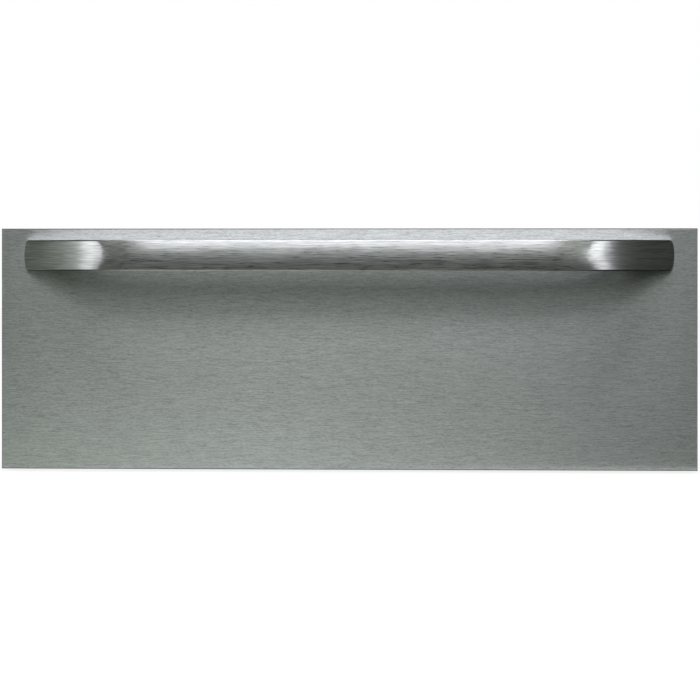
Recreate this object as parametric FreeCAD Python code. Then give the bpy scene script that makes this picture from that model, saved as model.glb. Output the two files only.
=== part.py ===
"""Warming drawer: a heated steel cavity in an insulated case, a drawer on telescopic slides, and a brushed
steel front with a bar handle, which hides the controls while it is shut.

Millimetres. +X to the right, +Y into the case, +Z up, with the drawer shut. Y is worked out from the plane
that the front frame's back lies in, and add() then moves each node back or forward by one distance, so that
the origin is on the surface that the feet stand on, in the middle of the whole object.
"""

import FreeCAD, Part
import math
import os

V = FreeCAD.Vector

# ---------------------------------------------------------------- driving sizes
# Front
front_width = 756.0
front_height = 262.0
front_clearance = 3.0        # lower edge of the front above the surface
front_standoff = 26.0        # face of the front ahead of the frame's back
front_sheet = 1.2
front_bend = 1.6             # outside radius of the folded edges
front_fold_bend = 0.3        # inside radius of the folded edges
front_return_gap = 5.0       # the folded returns stop this far short of the frame's back

# Handle
handle_margin = 25.0         # from the end of the handle to the side of the front
handle_drop = 29.3           # centre line of the handle below the front's top edge
handle_height = 33.0
handle_reach = 52.0          # face of the bar ahead of the front
handle_thickness = 18.0
handle_crown = 48.0          # radius of the bar's face from top to bottom
handle_leg_crown = 500.0     # the same on the legs, which are nearly flat
handle_crown_lead = 9.0      # the rounding starts to fade this far before the bend
handle_crown_fade = 32.0     # length over which it fades
handle_crown_cut = 0.2       # least depth that the rounding takes off the bar's face
handle_ease_radius = 380.0   # the plan is straight, then eases back, bends, and runs down the leg
handle_ease_angle = 8.2
handle_bend_radius = 70.0
handle_bend_angle = 22.0
handle_leg_radius = 450.0
handle_tip = 3.0             # length that the bowed end trims from the leg's point
handle_end_bow = 3.0
handle_corner = 4.5          # corners of the bowed ends
handle_edge_radius = 1.6
handle_screw = 6.0
handle_screw_depth = 11.0
handle_screw_inset = 25.0    # from the end of the handle
backing_sheet = 2.0
backing_width = 46.0
backing_height = 26.0
backing_corner = 3.0

# Case
foot_height = 6.0
foot_diameter = 30.0
foot_edge = 1.2
foot_recess = 3.4
foot_inset = 62.0            # centre of a foot from the case's side, front and back
case_side_inset = 18.0       # side of the case inside the side of the front
case_top_drop = 27.0         # top of the case below the front's top edge
case_depth = 584.0
case_sheet = 1.0
case_flange = 13.0           # folded edges of the side panels
base_flange = 10.0
bead_width = 14.0
bead_rise = 1.4
bead_inset = 70.0
louvre_count = 16
louvre_pitch = 14.0
louvre_width = 5.0
louvre_height = 14.0
louvre_inset = 40.0          # from the back of the case
louvre_rise = 2.0            # above the top insulation
slot_round = 0.49            # corner radius of a slot or bead, as a share of its width
bead_round = 0.7             # share of a bead's rise that its edge is rounded by
rear_slot_count = 16
rear_slot_pitch = 16.0
rear_slot_width = 5.0
rear_slot_length = 60.0
rear_slot_inset = 34.0       # from the top and bottom of the rear cover
case_screw_inset = 40.0      # end screws from the front and back of the case
rear_screw_inset = 20.0
frame_sheet = 1.5
frame_flange = 12.0          # how far the front frame stands out around the case
frame_hole = 4.6
frame_hole_spacing = 150.0

# Cavity
liner_sheet = 0.8
liner_corner = 3.0
liner_lip = 7.0
side_insulation = 20.0
floor_insulation = 18.0
top_insulation = 20.0
rear_insulation = 20.0
rear_bay = 25.0              # wiring space behind the rear insulation
control_bay = 40.0           # height between the cavity's ceiling and the top cover
control_bay_side = 40.0      # top insulation cut back beside, behind and below the controls
control_bay_back = 30.0
control_bay_floor = 2.0
seal_width = 8.0
seal_thickness = 2.2
seal_lip = 2.6               # width of the raised part of the seal

# Drawer
inner_front_rise = 9.8       # edge of the inner front outside the drawer opening
inner_front_drop = 7.8
inner_front_gap = 4.0        # back of the inner front ahead of the frame's back
inner_front_lip = 8.0
inner_front_corner = 6.0
breather_length = 28.0       # slots in the inner front's top flange
breather_width = 4.0
breather_pitch = 40.0
bracket_sheet = 1.5
bracket_height = 100.0
bracket_flange = 16.0
bracket_front_flange = 24.0
bracket_front_drop = 20.0
rail_height = 46.0
rest_height = 24.0
pan_sheet = 0.8
bracket_screw_inset = 14.0   # front screws from the ends of the brackets' front flanges
rest_screw_rise = 10.0       # above the front rest's lower edge
rest_screw_share = 0.6       # outer screws, as a share of half the pan's width
pan_rim_drop = 30.2          # rim of the pan below the cavity's ceiling
pan_floor_room = 25.0        # underside of the pan above the cavity's floor
pan_edge_gap = 2.0           # between the pan's sides and the ledges that its rim lies on
pan_corner = 20.0
pan_floor_radius = 8.0
pan_rim_width = 18.0
pan_front_rim = 12.0
pan_front_gap = 6.0          # rim of the pan behind the inner front
pan_side_gap = 4.0           # side of the pan inside the brackets' flanges
rack_wire = 3.2
rack_wire_rise = 2.0         # centre line of the wires above the frame wire's
rack_frame_wire = 5.0
rack_bend = 24.0
rack_leg_bend = 5.0
rack_leg_inset = 27.0
rack_leg_place = 60.0
rack_lift = 18.0
rack_margin = 16.0
rack_wires = 21
rack_edge = 14.0             # first wire from the frame wire

# Telescopic slides, s = distance from the cavity's wall inwards
slide_height = 45.0
slide_gauge = 1.4
slide_thickness = 12.7
slide_setback = 8.0          # front end of a shut slide behind the frame's back
slide_rear_room = 29.2       # from its back end to the cavity's back
slide_spare = 20.0           # slide length that is never drawn out
slide_drop = 66.2            # centre line of the slides below the pan's rim
slide_screw_inset = 35.0
slide_screw_access = 2.0     # room round a screw's head in the middle member
outer_end = 9.8              # s of the outer member's open side
middle_start = 3.2
middle_end = 10.8
inner_start = 5.4
race_lip = 1.0
race_lip_sheet = 0.8
ball_space = 4.0             # between two raceways
ball_diameter = 3.6
cage_thickness = 0.8
cage_width = 4.2
cage_balls = 8
cage_end_room = 10.0

# Heating
element_diameter = 6.5
element_height = 10.2        # centre of the tube above the cavity's floor
element_bend = 25.0
element_exit = 30.0
element_side_room = 88.0
element_loop = 130.0
element_front = 90.0
element_rear_room = 67.0
element_inner_room = 90.0
terminal_pin = 3.6
terminal_pin_length = 9.0
tab_width = 6.3
tab_sheet = 0.8
tab_length = 8.0
bush_diameter = 11.0
bush_flange = 16.0
bush_flange_sheet = 3.0
bush_length = 14.0
bush_tail = 10.0             # element beyond its bush
reflector_sheet = 0.8
reflector_edge = 6.0
reflector_inset = 12.0       # inside the brackets
reflector_margin = 30.0      # from the front and back of the cavity
clip_sheet = 1.0
clip_width = 12.0
clip_inset = 60.0
clip_rise = 2.5
limiter_offset = 60.0        # from the terminal block
limiter_y = 250.0
limiter_diameter = 16.0
limiter_height = 10.0
limiter_ear = 12.0
limiter_ear_width = 10.0
limiter_tab_gap = 9.0
limiter_room = 12.0          # insulation cut back around it
bulb_diameter = 6.0
bulb_length = 90.0
bulb_drop = 14.0             # below the cavity's ceiling
bulb_back_gap = 9.0          # ahead of the cavity's back
bulb_clip_inset = 20.0
bulb_clip_width = 8.0
bulb_clip_sheet = 1.0
bulb_clip_height = 14.0
capillary_x = 0.0
capillary_diameter = 1.8
capillary_bend = 12.0

# Controls and vent
fascia_sheet = 0.8
fascia_width = 204.0
fascia_height = 29.0
fascia_gap = 2.5             # above the inner front
fascia_corner = 3.0
fascia_side_inset = 4.0      # from the right side of the cavity
knob_side_inset = 39.0       # from the right end of the fascia
control_pitch = 50.0
knob_diameter = 24.0
knob_height = 14.0
knob_skirt = 3.0
knob_skirt_width = 2.5
knob_recess = 5.0
knob_edge = 1.2
knob_mark = 1.2
spindle_diameter = 6.0
spindle_flat = 1.0
spindle_grip = 10.0          # length of spindle inside the knob
spindle_seat = 13.5
neck_diameter = 10.0
neck_length = 6.5
nut_flats = 14.0
nut_thickness = 2.4
thermostat_size = 26.0
thermostat_depth = 30.0
thermostat_corner = 2.5
switch_width = 19.2
switch_height = 13.0
switch_depth = 24.0
switch_wall = 1.0
switch_bezel = 1.0
switch_rim = 1.4
switch_well = 9.0
rocker_tilt = 9.0
rocker_pivot = 3.0           # behind the frame's back
rocker_crown = 1.6
rocker_taper = 2.6
rocker_foot = 3.0
rocker_foot_depth = 6.0
lamp_diameter = 8.0
lamp_length = 22.0
lens_collar = 1.6
lens_collar_height = 1.2
lens_dome = 2.4
lens_edge = 1.6
vent_slots = 9
vent_slot_width = 8.0
vent_slot_height = 14.0
vent_pitch = 18.0
vent_drop = 12.2             # below the cavity's ceiling
vent_sheet = 1.0
vent_margin = 14.0
vent_plate_height = 20.0
vent_rail_sheet = 0.8
vent_rail_web = 1.6
vent_rail_lip = 2.2
vent_button = 7.2
vent_button_height = 11.0
vent_button_edge = 1.0

# Mains inlet and wiring
inlet_inset = 80.0           # from the left side of the case
inlet_drop = 46.0            # below the top cover
inlet_bore = 9.0
inlet_neck = 16.0
inlet_neck_length = 16.0
gland_flange = 26.0
gland_flange_sheet = 3.0
gland_cone = 9.0
gland_nut_flats = 22.0
gland_nut_thickness = 4.0
terminal_offset = 70.0       # from the inlet
terminal_width = 48.0
terminal_height = 20.0
terminal_depth = 16.0
terminal_pitch = 15.0
terminal_well = 6.4
terminal_well_depth = 7.0
wire_bundle = 6.0
wire_lead = 1.9
wire_bend = 8.0
loom_place = 75.0            # where the loom turns, behind the frame's back

# Fasteners
m4_thread = 4.0
m4_head = 7.6
m4_head_height = 1.8
m4_length = 8.0
m3_thread = 3.0
m3_head = 5.4
m3_head_height = 1.8
m3_length = 4.0
m6_head = 11.0
m6_head_height = 3.6
slide_head = 7.0
slide_head_height = 1.2
drawer_screw_reach = 1.6     # beyond the two sheets that it holds
head_round = 0.45            # share of a head's height that its edge is rounded by
recess_width = 0.4           # driving recess, as shares of the head
recess_depth = 0.5

# Clearances
fit_gap = 0.3                # between faces that slide past each other
running_gap = 0.05           # radial, spindle in its neck
loose_gap = 0.2              # radial, a screw or tube in its hole
screw_room = 2.0             # radial, insulation round a screw

# ---------------------------------------------------------------- derived places
front_bottom = front_clearance
front_top = front_bottom + front_height
front_face = -front_standoff
front_back = front_face + front_sheet
half_front = front_width / 2

case_half = half_front - case_side_inset
case_bottom = foot_height
case_top = front_top - case_top_drop
case_back = case_depth
side_inner = case_half - case_sheet
back_inner = case_back - case_sheet
cover_under = case_top - case_sheet
flange_line = case_half - case_flange / 2

cavity_half = case_half - case_sheet - side_insulation - liner_sheet
cavity_floor = case_bottom + case_sheet + floor_insulation + liner_sheet
cavity_ceiling = cover_under - control_bay - liner_sheet
cavity_back = case_back - case_sheet - rear_bay - rear_insulation - liner_sheet
liner_half = cavity_half + liner_sheet
liner_under = cavity_floor - liner_sheet
liner_top = cavity_ceiling + liner_sheet
liner_back = cavity_back + liner_sheet
slab_top = liner_top + top_insulation
slab_back = liner_back + rear_insulation

frame_half = case_half + frame_flange
frame_top = case_top + frame_flange
frame_face = -frame_sheet

inner_back = -inner_front_gap
inner_face = inner_back - case_sheet
inner_half = cavity_half + inner_front_rise
inner_bottom = cavity_floor - inner_front_drop
inner_top = cavity_ceiling + inner_front_rise
inner_corner = inner_front_corner - case_sheet

rim_under = cavity_ceiling - pan_rim_drop
slide_z = rim_under - slide_drop
slide_front = slide_setback
slide_back = cavity_back - slide_rear_room
slide_length = slide_back - slide_front
slide_travel = slide_length - slide_spare
slide_screw_ys = [slide_front + slide_screw_inset, (slide_front + slide_back) / 2,
                  slide_back - slide_screw_inset]

bracket_outer = cavity_half - slide_thickness
bracket_inner = bracket_outer - bracket_sheet
bracket_low = rim_under - bracket_height
drawer_back = slide_back - slide_setback
pan_half = bracket_inner - bracket_flange - pan_side_gap
pan_front = inner_back + pan_front_gap + pan_front_rim
pan_back = drawer_back - pan_edge_gap - pan_front_rim
pan_low = cavity_floor + pan_floor_room
shelf_half = bracket_inner - bracket_flange - fit_gap

fascia_face = frame_face - fascia_sheet
fascia_right = cavity_half - fascia_side_inset
control_z = inner_top + fascia_gap + fascia_height / 2
knob_x = fascia_right - knob_side_inset
lamp_x = knob_x - control_pitch
switch_x = lamp_x - control_pitch
knob_back = fascia_face - 2 * fit_gap
spindle_tip = knob_back - spindle_grip

handle_z = front_top - handle_drop
handle_half = half_front - handle_margin
handle_screw_x = handle_half - handle_screw_inset

element_radius = element_diameter / 2
element_z = cavity_floor + element_height
element_outer_x = cavity_half - element_side_room
element_inner_x = element_outer_x - element_loop
element_rear = cavity_back - element_rear_room
element_turn = element_rear - element_inner_room
element_end = liner_back + bush_length + bush_tail

bulb_z = cavity_ceiling - bulb_drop
bulb_y = cavity_back - bulb_back_gap
bay_y = back_inner - rear_bay / 2
vent_z = cavity_ceiling - vent_drop
vent_travel = vent_pitch / 2
inlet_x = -(case_half - inlet_inset)
inlet_z = cover_under - inlet_drop
terminal_x = inlet_x + terminal_offset
limiter_x = terminal_x + limiter_offset
loom_z = slab_top + wire_bundle / 2

foot_places = {f"{row}_{hand}_foot": (side * (case_half - foot_inset), y)
               for row, y in (("front", foot_inset), ("rear", case_depth - foot_inset))
               for hand, side in (("left", -1), ("right", 1))}
case_screw_ys = [case_screw_inset, case_depth / 2, case_depth - case_screw_inset]
rear_screw_zs = [case_bottom + rear_screw_inset, (case_bottom + cover_under) / 2,
                 cover_under - rear_screw_inset]
frame_screw_zs = [case_bottom + case_flange, (cavity_floor + cavity_ceiling) / 2, cover_under - case_flange]
base_screw_z = case_bottom + base_flange / 2
vent_xs = [(i - (vent_slots - 1) / 2) * vent_pitch for i in range(vent_slots)]

# Y of the whole object's middle, from the handle's face to the cable gland's mouth
middle_y = (front_face - handle_reach + case_back + gland_flange_sheet + gland_cone) / 2

nodes = {}


# ---------------------------------------------------------------- helpers
def add(name, *shapes):
    """Keeps a node's solids, moved so that the origin is in the object's middle."""
    solids = []
    for shape in shapes:
        solids.extend(shape.Solids)
    group = Part.makeCompound(solids)
    group.translate(V(0, -middle_y, 0))
    nodes[name] = group


def box(x0, x1, y0, y1, z0, z1):
    """Block between two corners."""
    return Part.makeBox(x1 - x0, y1 - y0, z1 - z0, V(x0, y0, z0))


def rod(start, direction, diameter, length):
    """Cylinder from a point along a direction."""
    return Part.makeCylinder(diameter / 2, length, V(*start), V(*direction))


def hole(place, direction, diameter, length=20.0):
    """Cutter for a round hole, centred on a point."""
    way = V(*direction)
    return Part.makeCylinder(diameter / 2, length, V(*place) - way * (length / 2), way)


def join(*shapes):
    """One solid from pieces that meet."""
    return shapes[0].multiFuse(list(shapes[1:])).removeSplitter()


def mirrored(shape):
    """The same piece for the other side."""
    return shape.mirror(V(0, 0, 0), V(1, 0, 0))


def rounded_box(x0, x1, y0, y1, z0, z1, radius, axis):
    """Block whose four edges along one axis (0, 1, 2 for X, Y, Z) are rounded."""
    block = box(x0, x1, y0, y1, z0, z1)
    corners = [e for e in block.Edges if abs(e.tangentAt(e.FirstParameter)[axis]) > 0.999]
    return block.makeFillet(radius, corners)


def edges_at(shape, side, value):
    """Edges that lie wholly at one value of XMin, YMax, ZMin and so on."""
    both = (side[0] + "Min", side[0] + "Max")
    return [e for e in shape.Edges if all(abs(getattr(e.BoundBox, s) - value) < 1e-3 for s in both)]


def hexagon(x, y0, y1, z, across_flats):
    """Hexagonal block along Y."""
    radius = across_flats / math.sqrt(3)
    turns = [math.radians(60 * i) for i in range(7)]
    corners = [V(x + radius * math.cos(a), y0, z + radius * math.sin(a)) for a in turns]
    return Part.Face(Part.makePolygon(corners)).extrude(V(0, y1 - y0, 0))


def pan_screw(seat, out, thread, length, head, head_height):
    """Screw whose pan head stands out from its seat, with a round driving recess."""
    way = V(*out)
    shank = rod(seat, way * -1, thread - 2 * loose_gap, length)
    cap = rod(seat, way, head, head_height)
    top = V(*seat) + way * head_height
    rim = [e for e in cap.Edges if (e.BoundBox.Center - top).Length < 0.01]
    cap = cap.makeFillet(head_height * head_round, rim[:1])
    recess = rod(top - way * head_height * recess_depth, way, head * recess_width, head_height)
    return join(shank, cap).cut(recess)


def m4_screw(seat, out):
    """Screw of the casing, the front frame and the feet."""
    return pan_screw(seat, out, m4_thread, m4_length, m4_head, m4_head_height)


def m3_screw(seat, out):
    """Screw of the terminal block and the limiter."""
    return pan_screw(seat, out, m3_thread, m3_length, m3_head, m3_head_height)


def bent_path(points, radius):
    """Wire of straight runs joined by tangent arcs of one radius."""
    corners = [V(*p) for p in points]
    edges = []
    start = corners[0]
    for before, corner, after in zip(corners, corners[1:], corners[2:]):
        arrive = (corner - before).normalize()
        leave = (after - corner).normalize()
        turn = arrive.getAngle(leave)
        reach = radius * math.tan(turn / 2)
        first = corner - arrive * reach
        last = corner + leave * reach
        inward = (leave - arrive).normalize()
        middle = corner + inward * (radius / math.cos(turn / 2) - radius)
        edges.append(Part.makeLine(start, first))
        edges.append(Part.Arc(first, middle, last).toShape())
        start = last
    edges.append(Part.makeLine(start, corners[-1]))
    return Part.Wire(edges)


def tube(points, bend, diameter):
    """Round tube or wire along a path of straight runs and arcs."""
    start = V(*points[0])
    ring = Part.Wire([Part.makeCircle(diameter / 2, start, V(*points[1]) - start)])
    return bent_path(points, bend).makePipeShell([ring], True, True)


# ---------------------------------------------------------------- case
def base_pan():
    """Folded tray that closes the case from below, notched for the side panels' flanges."""
    notch = case_half - case_flange - fit_gap
    top = case_bottom + case_sheet
    floor = box(-side_inner, side_inner, 0, back_inner, case_bottom, top)
    corner = box(notch, side_inner, 0, case_sheet, case_bottom, top)
    rear_corner = box(notch, side_inner, back_inner - case_sheet, back_inner, case_bottom, top)
    for cutter in (corner, rear_corner, mirrored(corner), mirrored(rear_corner)):
        floor = floor.cut(cutter)
    rise = case_bottom + base_flange
    front = box(-notch, notch, 0, case_sheet, case_bottom, rise)
    back = box(-notch, notch, back_inner - case_sheet, back_inner, case_bottom, rise)
    side = box(side_inner - case_sheet, side_inner, case_sheet, back_inner - case_sheet, case_bottom, rise)
    pan = join(floor, front, back, side, mirrored(side))
    for x, y in foot_places.values():
        pan = pan.cut(hole((x, y, case_bottom), (0, 0, 1), m4_thread))
    for y in case_screw_ys:
        for x in (-side_inner, side_inner):
            pan = pan.cut(hole((x, y, base_screw_z), (1, 0, 0), m4_thread))
    return pan


def side_panel():
    """Right-hand casing: a sheet folded inwards at the front, top and back, with cooling slots."""
    edge = case_half - case_flange
    sheet = box(side_inner, case_half, 0, back_inner, case_bottom, cover_under)
    front = box(edge, case_half, 0, case_sheet, case_bottom, cover_under)
    back = box(edge, case_half, back_inner - case_sheet, back_inner, case_bottom, cover_under)
    top = box(edge, case_half, 0, back_inner, cover_under - case_sheet, cover_under)
    panel = join(sheet, front, back, top)
    for i in range(louvre_count):
        y = case_back - louvre_inset - i * louvre_pitch
        low = slab_top + louvre_rise
        panel = panel.cut(rounded_box(side_inner - 1, case_half + 1, y - louvre_width, y, low,
                                      low + louvre_height, louvre_width * slot_round, 0))
    for y in case_screw_ys:
        panel = panel.cut(hole((case_half, y, base_screw_z), (1, 0, 0), m4_thread, 3 * case_sheet))
        panel = panel.cut(hole((flange_line, y, cover_under), (0, 0, 1), m4_thread, 4 * case_sheet))
    for z in rear_screw_zs:
        panel = panel.cut(hole((flange_line, back_inner, z), (0, 1, 0), m4_thread, 4 * case_sheet))
    for z in frame_screw_zs:
        panel = panel.cut(hole((flange_line, 0, z), (0, 1, 0), m4_thread, 4 * case_sheet))
    return panel


def top_cover():
    """Flat lid with three pressed stiffening beads."""
    cover = box(-case_half, case_half, 0, case_back, cover_under, case_top)
    for x in (bead_inset - case_half, 0, case_half - bead_inset):
        bead = rounded_box(x - bead_width / 2, x + bead_width / 2, bead_inset, case_back - bead_inset,
                           case_top, case_top + bead_rise, bead_width * slot_round, 2)
        bead = bead.makeFillet(bead_rise * bead_round, edges_at(bead, "ZMax", case_top + bead_rise))
        cover = cover.fuse(bead)
    for y in case_screw_ys:
        for x in (-flange_line, flange_line):
            cover = cover.cut(hole((x, y, case_top), (0, 0, 1), m4_thread))
    return cover.removeSplitter()


def rear_cover():
    """Back sheet with cooling slots and the hole for the cable gland."""
    cover = box(-case_half, case_half, back_inner, case_back, case_bottom, cover_under)
    half = rear_slot_width / 2
    for i in range(rear_slot_count):
        x = (i - (rear_slot_count - 1) / 2) * rear_slot_pitch
        for z in (case_bottom + rear_slot_inset, cover_under - rear_slot_inset - rear_slot_length):
            cover = cover.cut(rounded_box(x - half, x + half, back_inner - 1, case_back + 1,
                                          z, z + rear_slot_length, rear_slot_width * slot_round, 1))
    for z in rear_screw_zs:
        for x in (-flange_line, flange_line):
            cover = cover.cut(hole((x, case_back, z), (0, 1, 0), m4_thread))
    return cover.cut(hole((inlet_x, case_back, inlet_z), (0, 1, 0), inlet_neck + 2 * loose_gap))


def cut_controls(plate):
    """Holes for the thermostat's neck, the lamp and the switch."""
    plate = plate.cut(hole((knob_x, frame_face, control_z), (0, 1, 0), neck_diameter + 2 * loose_gap))
    plate = plate.cut(hole((lamp_x, frame_face, control_z), (0, 1, 0), lamp_diameter + 2 * loose_gap))
    half_w = switch_width / 2 + loose_gap
    half_h = switch_height / 2 + loose_gap
    return plate.cut(box(switch_x - half_w, switch_x + half_w, fascia_face - 1, 1,
                         control_z - half_h, control_z + half_h))


def front_frame():
    """Stainless plate round the drawer opening. It stands out past the case, to cover a cabinet's cut-out."""
    plate = box(-frame_half, frame_half, frame_face, 0, case_bottom, frame_top)
    plate = plate.cut(rounded_box(-cavity_half, cavity_half, frame_face - 1, 1, cavity_floor, cavity_ceiling,
                                  liner_corner, 1))
    middle = (case_bottom + case_top) / 2
    side = frame_half - frame_flange / 2
    for x in (-side, side):
        for z in (middle - frame_hole_spacing / 2, middle + frame_hole_spacing / 2):
            plate = plate.cut(hole((x, 0, z), (0, 1, 0), frame_hole))
    for z in frame_screw_zs:
        for x in (-flange_line, flange_line):
            plate = plate.cut(hole((x, 0, z), (0, 1, 0), m4_thread))
    return cut_controls(plate)


def cavity_liner():
    """Five-sided stainless oven box with a lip round its mouth."""
    outer = rounded_box(-liner_half, liner_half, 0, liner_back, liner_under, liner_top,
                        liner_corner + liner_sheet, 1)
    lip = rounded_box(-liner_half - liner_lip, liner_half + liner_lip, 0, liner_sheet,
                      liner_under - liner_lip, liner_top + liner_lip, liner_corner, 1)
    inner = rounded_box(-cavity_half, cavity_half, -1, cavity_back, cavity_floor, cavity_ceiling,
                        liner_corner, 1)
    liner = join(outer, lip).cut(inner)
    for x in (-element_exit, element_exit):
        liner = liner.cut(hole((x, liner_back, element_z), (0, 1, 0), bush_diameter + 2 * loose_gap))
    liner = liner.cut(hole((capillary_x, liner_back, bulb_z), (0, 1, 0), capillary_diameter + 2 * loose_gap))
    for y in slide_screw_ys:
        for x in (-cavity_half, cavity_half):
            liner = liner.cut(hole((x, y, slide_z), (1, 0, 0), m4_thread, 10))
    for x in (limiter_x - limiter_ear, limiter_x + limiter_ear):
        liner = liner.cut(hole((x, limiter_y, liner_top), (0, 0, 1), m3_thread, 6))
    return liner


def floor_slab():
    """Insulation below the liner, clear of the casing's screws."""
    reach = flange_line - m4_thread / 2 - fit_gap
    front = case_sheet + fit_gap
    slab = box(-reach, reach, front, back_inner - front, case_bottom + case_sheet, liner_under)
    for x, y in foot_places.values():
        slab = slab.cut(hole((x, y, case_bottom), (0, 0, 1), m4_thread + 2 * screw_room, 2 * m4_length))
    return slab


def insulation_wrap():
    """One blanket over the top and down both sides of the liner."""
    front = case_sheet + fit_gap
    low = max(liner_under, case_bottom + base_flange + fit_gap)
    side = box(liner_half, side_inner, front, slab_back, low, slab_top)
    for z in frame_screw_zs:
        side = side.cut(hole((flange_line, 0, z), (0, 1, 0), m4_thread + 2 * screw_room, 2 * m4_length))
    for y in slide_screw_ys:
        side = side.cut(hole((liner_half, y, slide_z), (1, 0, 0), m4_thread + 2 * screw_room, 3 * m4_length))
    top = box(-liner_half, liner_half, front, slab_back, liner_top, slab_top)
    wrap = join(top, side, mirrored(side))
    bay_floor = control_z - max(thermostat_size, switch_height) / 2 - control_bay_floor
    wrap = wrap.cut(box(switch_x - control_bay_side, liner_half, 0, thermostat_depth + control_bay_back,
                        bay_floor, slab_top + 1))
    limiter = hole((limiter_x, limiter_y, slab_top), (0, 0, 1), 2 * (limiter_ear + limiter_room),
                   2 * top_insulation)
    return wrap.cut(limiter)


def rear_slab():
    """Insulation behind the liner, with holes for the heater's ends and the capillary."""
    slab = box(-liner_half, liner_half, liner_back, slab_back, liner_under, liner_top)
    deep = 2 * rear_insulation + 2
    for x in (-element_exit, element_exit):
        slab = slab.cut(hole((x, liner_back, element_z), (0, 1, 0), bush_flange, deep))
    return slab.cut(hole((capillary_x, liner_back, bulb_z), (0, 1, 0), capillary_diameter + 2, deep))


def drawer_seal():
    """Flat silicone seal round the opening, on the frame's face, with a raised lip."""
    crest = frame_face - seal_thickness
    half_way = frame_face - seal_thickness / 2

    def ring(y0, y1, grow):
        return rounded_box(-cavity_half - grow, cavity_half + grow, y0, y1, cavity_floor - grow,
                           cavity_ceiling + grow, liner_corner + grow, 1)

    base = ring(half_way, frame_face, seal_width)
    lip = ring(crest, half_way, (seal_width + fit_gap + seal_lip) / 2)
    lip = lip.cut(ring(crest - 1, half_way + 1, (seal_width + fit_gap - seal_lip) / 2))
    return join(base.cut(ring(half_way - 1, frame_face + 1, fit_gap)), lip)


def rubber_feet():
    """Four rubber feet, each held by a screw from below."""
    for name, (x, y) in foot_places.items():
        foot = rod((x, y, 0), (0, 0, 1), foot_diameter, foot_height)
        foot = foot.makeFillet(foot_edge, edges_at(foot, "ZMin", 0))
        foot = foot.cut(rod((x, y, -1), (0, 0, 1), m4_head + 2, foot_recess + 1))
        add(name, foot.cut(rod((x, y, -1), (0, 0, 1), m4_thread, foot_height + 2)))


def case_screws():
    """Identical screws of the casing, the front frame and the feet."""
    screws = [m4_screw((x, y, foot_recess), (0, 0, -1)) for x, y in foot_places.values()]
    for side in (-1, 1):
        for y in case_screw_ys:
            screws.append(m4_screw((side * case_half, y, base_screw_z), (side, 0, 0)))
            screws.append(m4_screw((side * flange_line, y, case_top), (0, 0, 1)))
        for z in rear_screw_zs:
            screws.append(m4_screw((side * flange_line, case_back, z), (0, 1, 0)))
        for z in frame_screw_zs:
            screws.append(m4_screw((side * flange_line, frame_face, z), (0, -1, 0)))
    return screws


# ---------------------------------------------------------------- telescopic slides
def channel(start, end, web_first, half_height, lip):
    """Right-hand slide member between two distances from the wall: a web with two flanges."""
    right = cavity_half - start
    left = cavity_half - end
    web = right - slide_gauge if web_first else left
    pieces = [box(web, web + slide_gauge, slide_front, slide_back,
                  slide_z - half_height, slide_z + half_height)]
    inside = half_height - slide_gauge
    for low in (-half_height, inside):
        pieces.append(box(left, right, slide_front, slide_back, slide_z + low, slide_z + low + slide_gauge))
    if lip:
        for low in (-inside, inside - lip):
            pieces.append(box(left, left + race_lip_sheet, slide_front, slide_back,
                              slide_z + low, slide_z + low + lip))
    return join(*pieces)


def ball_cage(centre, half_height):
    """Two strips of balls, above and below, between a pair of raceways."""
    length = slide_length - slide_travel / 2 - 2 * cage_end_room
    front = (slide_front + slide_back - length) / 2
    x = cavity_half - centre
    solids = []
    for z in (slide_z - half_height, slide_z + half_height):
        strip = box(x - cage_width / 2, x + cage_width / 2, front, front + length,
                    z - cage_thickness / 2, z + cage_thickness / 2)
        for i in range(cage_balls):
            y = front + (i + 0.5) * length / cage_balls
            strip = strip.cut(hole((x, y, z), (0, 0, 1), ball_diameter + 2 * running_gap, 4))
            solids.append(Part.makeSphere(ball_diameter / 2, V(x, y, z)))
        solids.append(strip)
    return Part.makeCompound(solids)


def slides():
    """Full-extension ball slides: outer, middle and inner members and two ball cages a side."""
    outer_half = slide_height / 2
    middle_half = outer_half - slide_gauge - ball_space
    inner_half_height = middle_half - slide_gauge - ball_space
    outer = channel(0, outer_end, True, outer_half, race_lip)
    middle = channel(middle_start, middle_end, True, middle_half, 0)
    inner = channel(inner_start, slide_thickness, False, inner_half_height, 0)
    for y in slide_screw_ys:
        outer = outer.cut(hole((cavity_half, y, slide_z), (1, 0, 0), m4_thread, 6))
        middle = middle.cut(hole((cavity_half - middle_start, y, slide_z), (1, 0, 0),
                                 slide_head + slide_screw_access, 6))
        inner = inner.cut(hole((bracket_outer, y, slide_z), (1, 0, 0), m4_thread, 6))
    outer_balls = (middle_start + slide_gauge + outer_end - race_lip_sheet) / 2
    inner_balls = (inner_start + middle_end) / 2
    parts = {"outer_member": outer, "middle_member": middle, "inner_member": inner,
             "outer_ball_cage": ball_cage(outer_balls, outer_half - slide_gauge - ball_space / 2),
             "inner_ball_cage": ball_cage(inner_balls, middle_half - slide_gauge - ball_space / 2)}
    for name, shape in parts.items():
        add("right_slide_" + name, shape)
        add("left_slide_" + name, mirrored(shape))


def slide_wall_screws():
    """Low-headed screws through the outer members into the cavity's walls."""
    return [pan_screw((side * (cavity_half - slide_gauge), y, slide_z), (-side, 0, 0), m4_thread, m4_length,
                      slide_head, slide_head_height)
            for side in (-1, 1) for y in slide_screw_ys]


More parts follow.
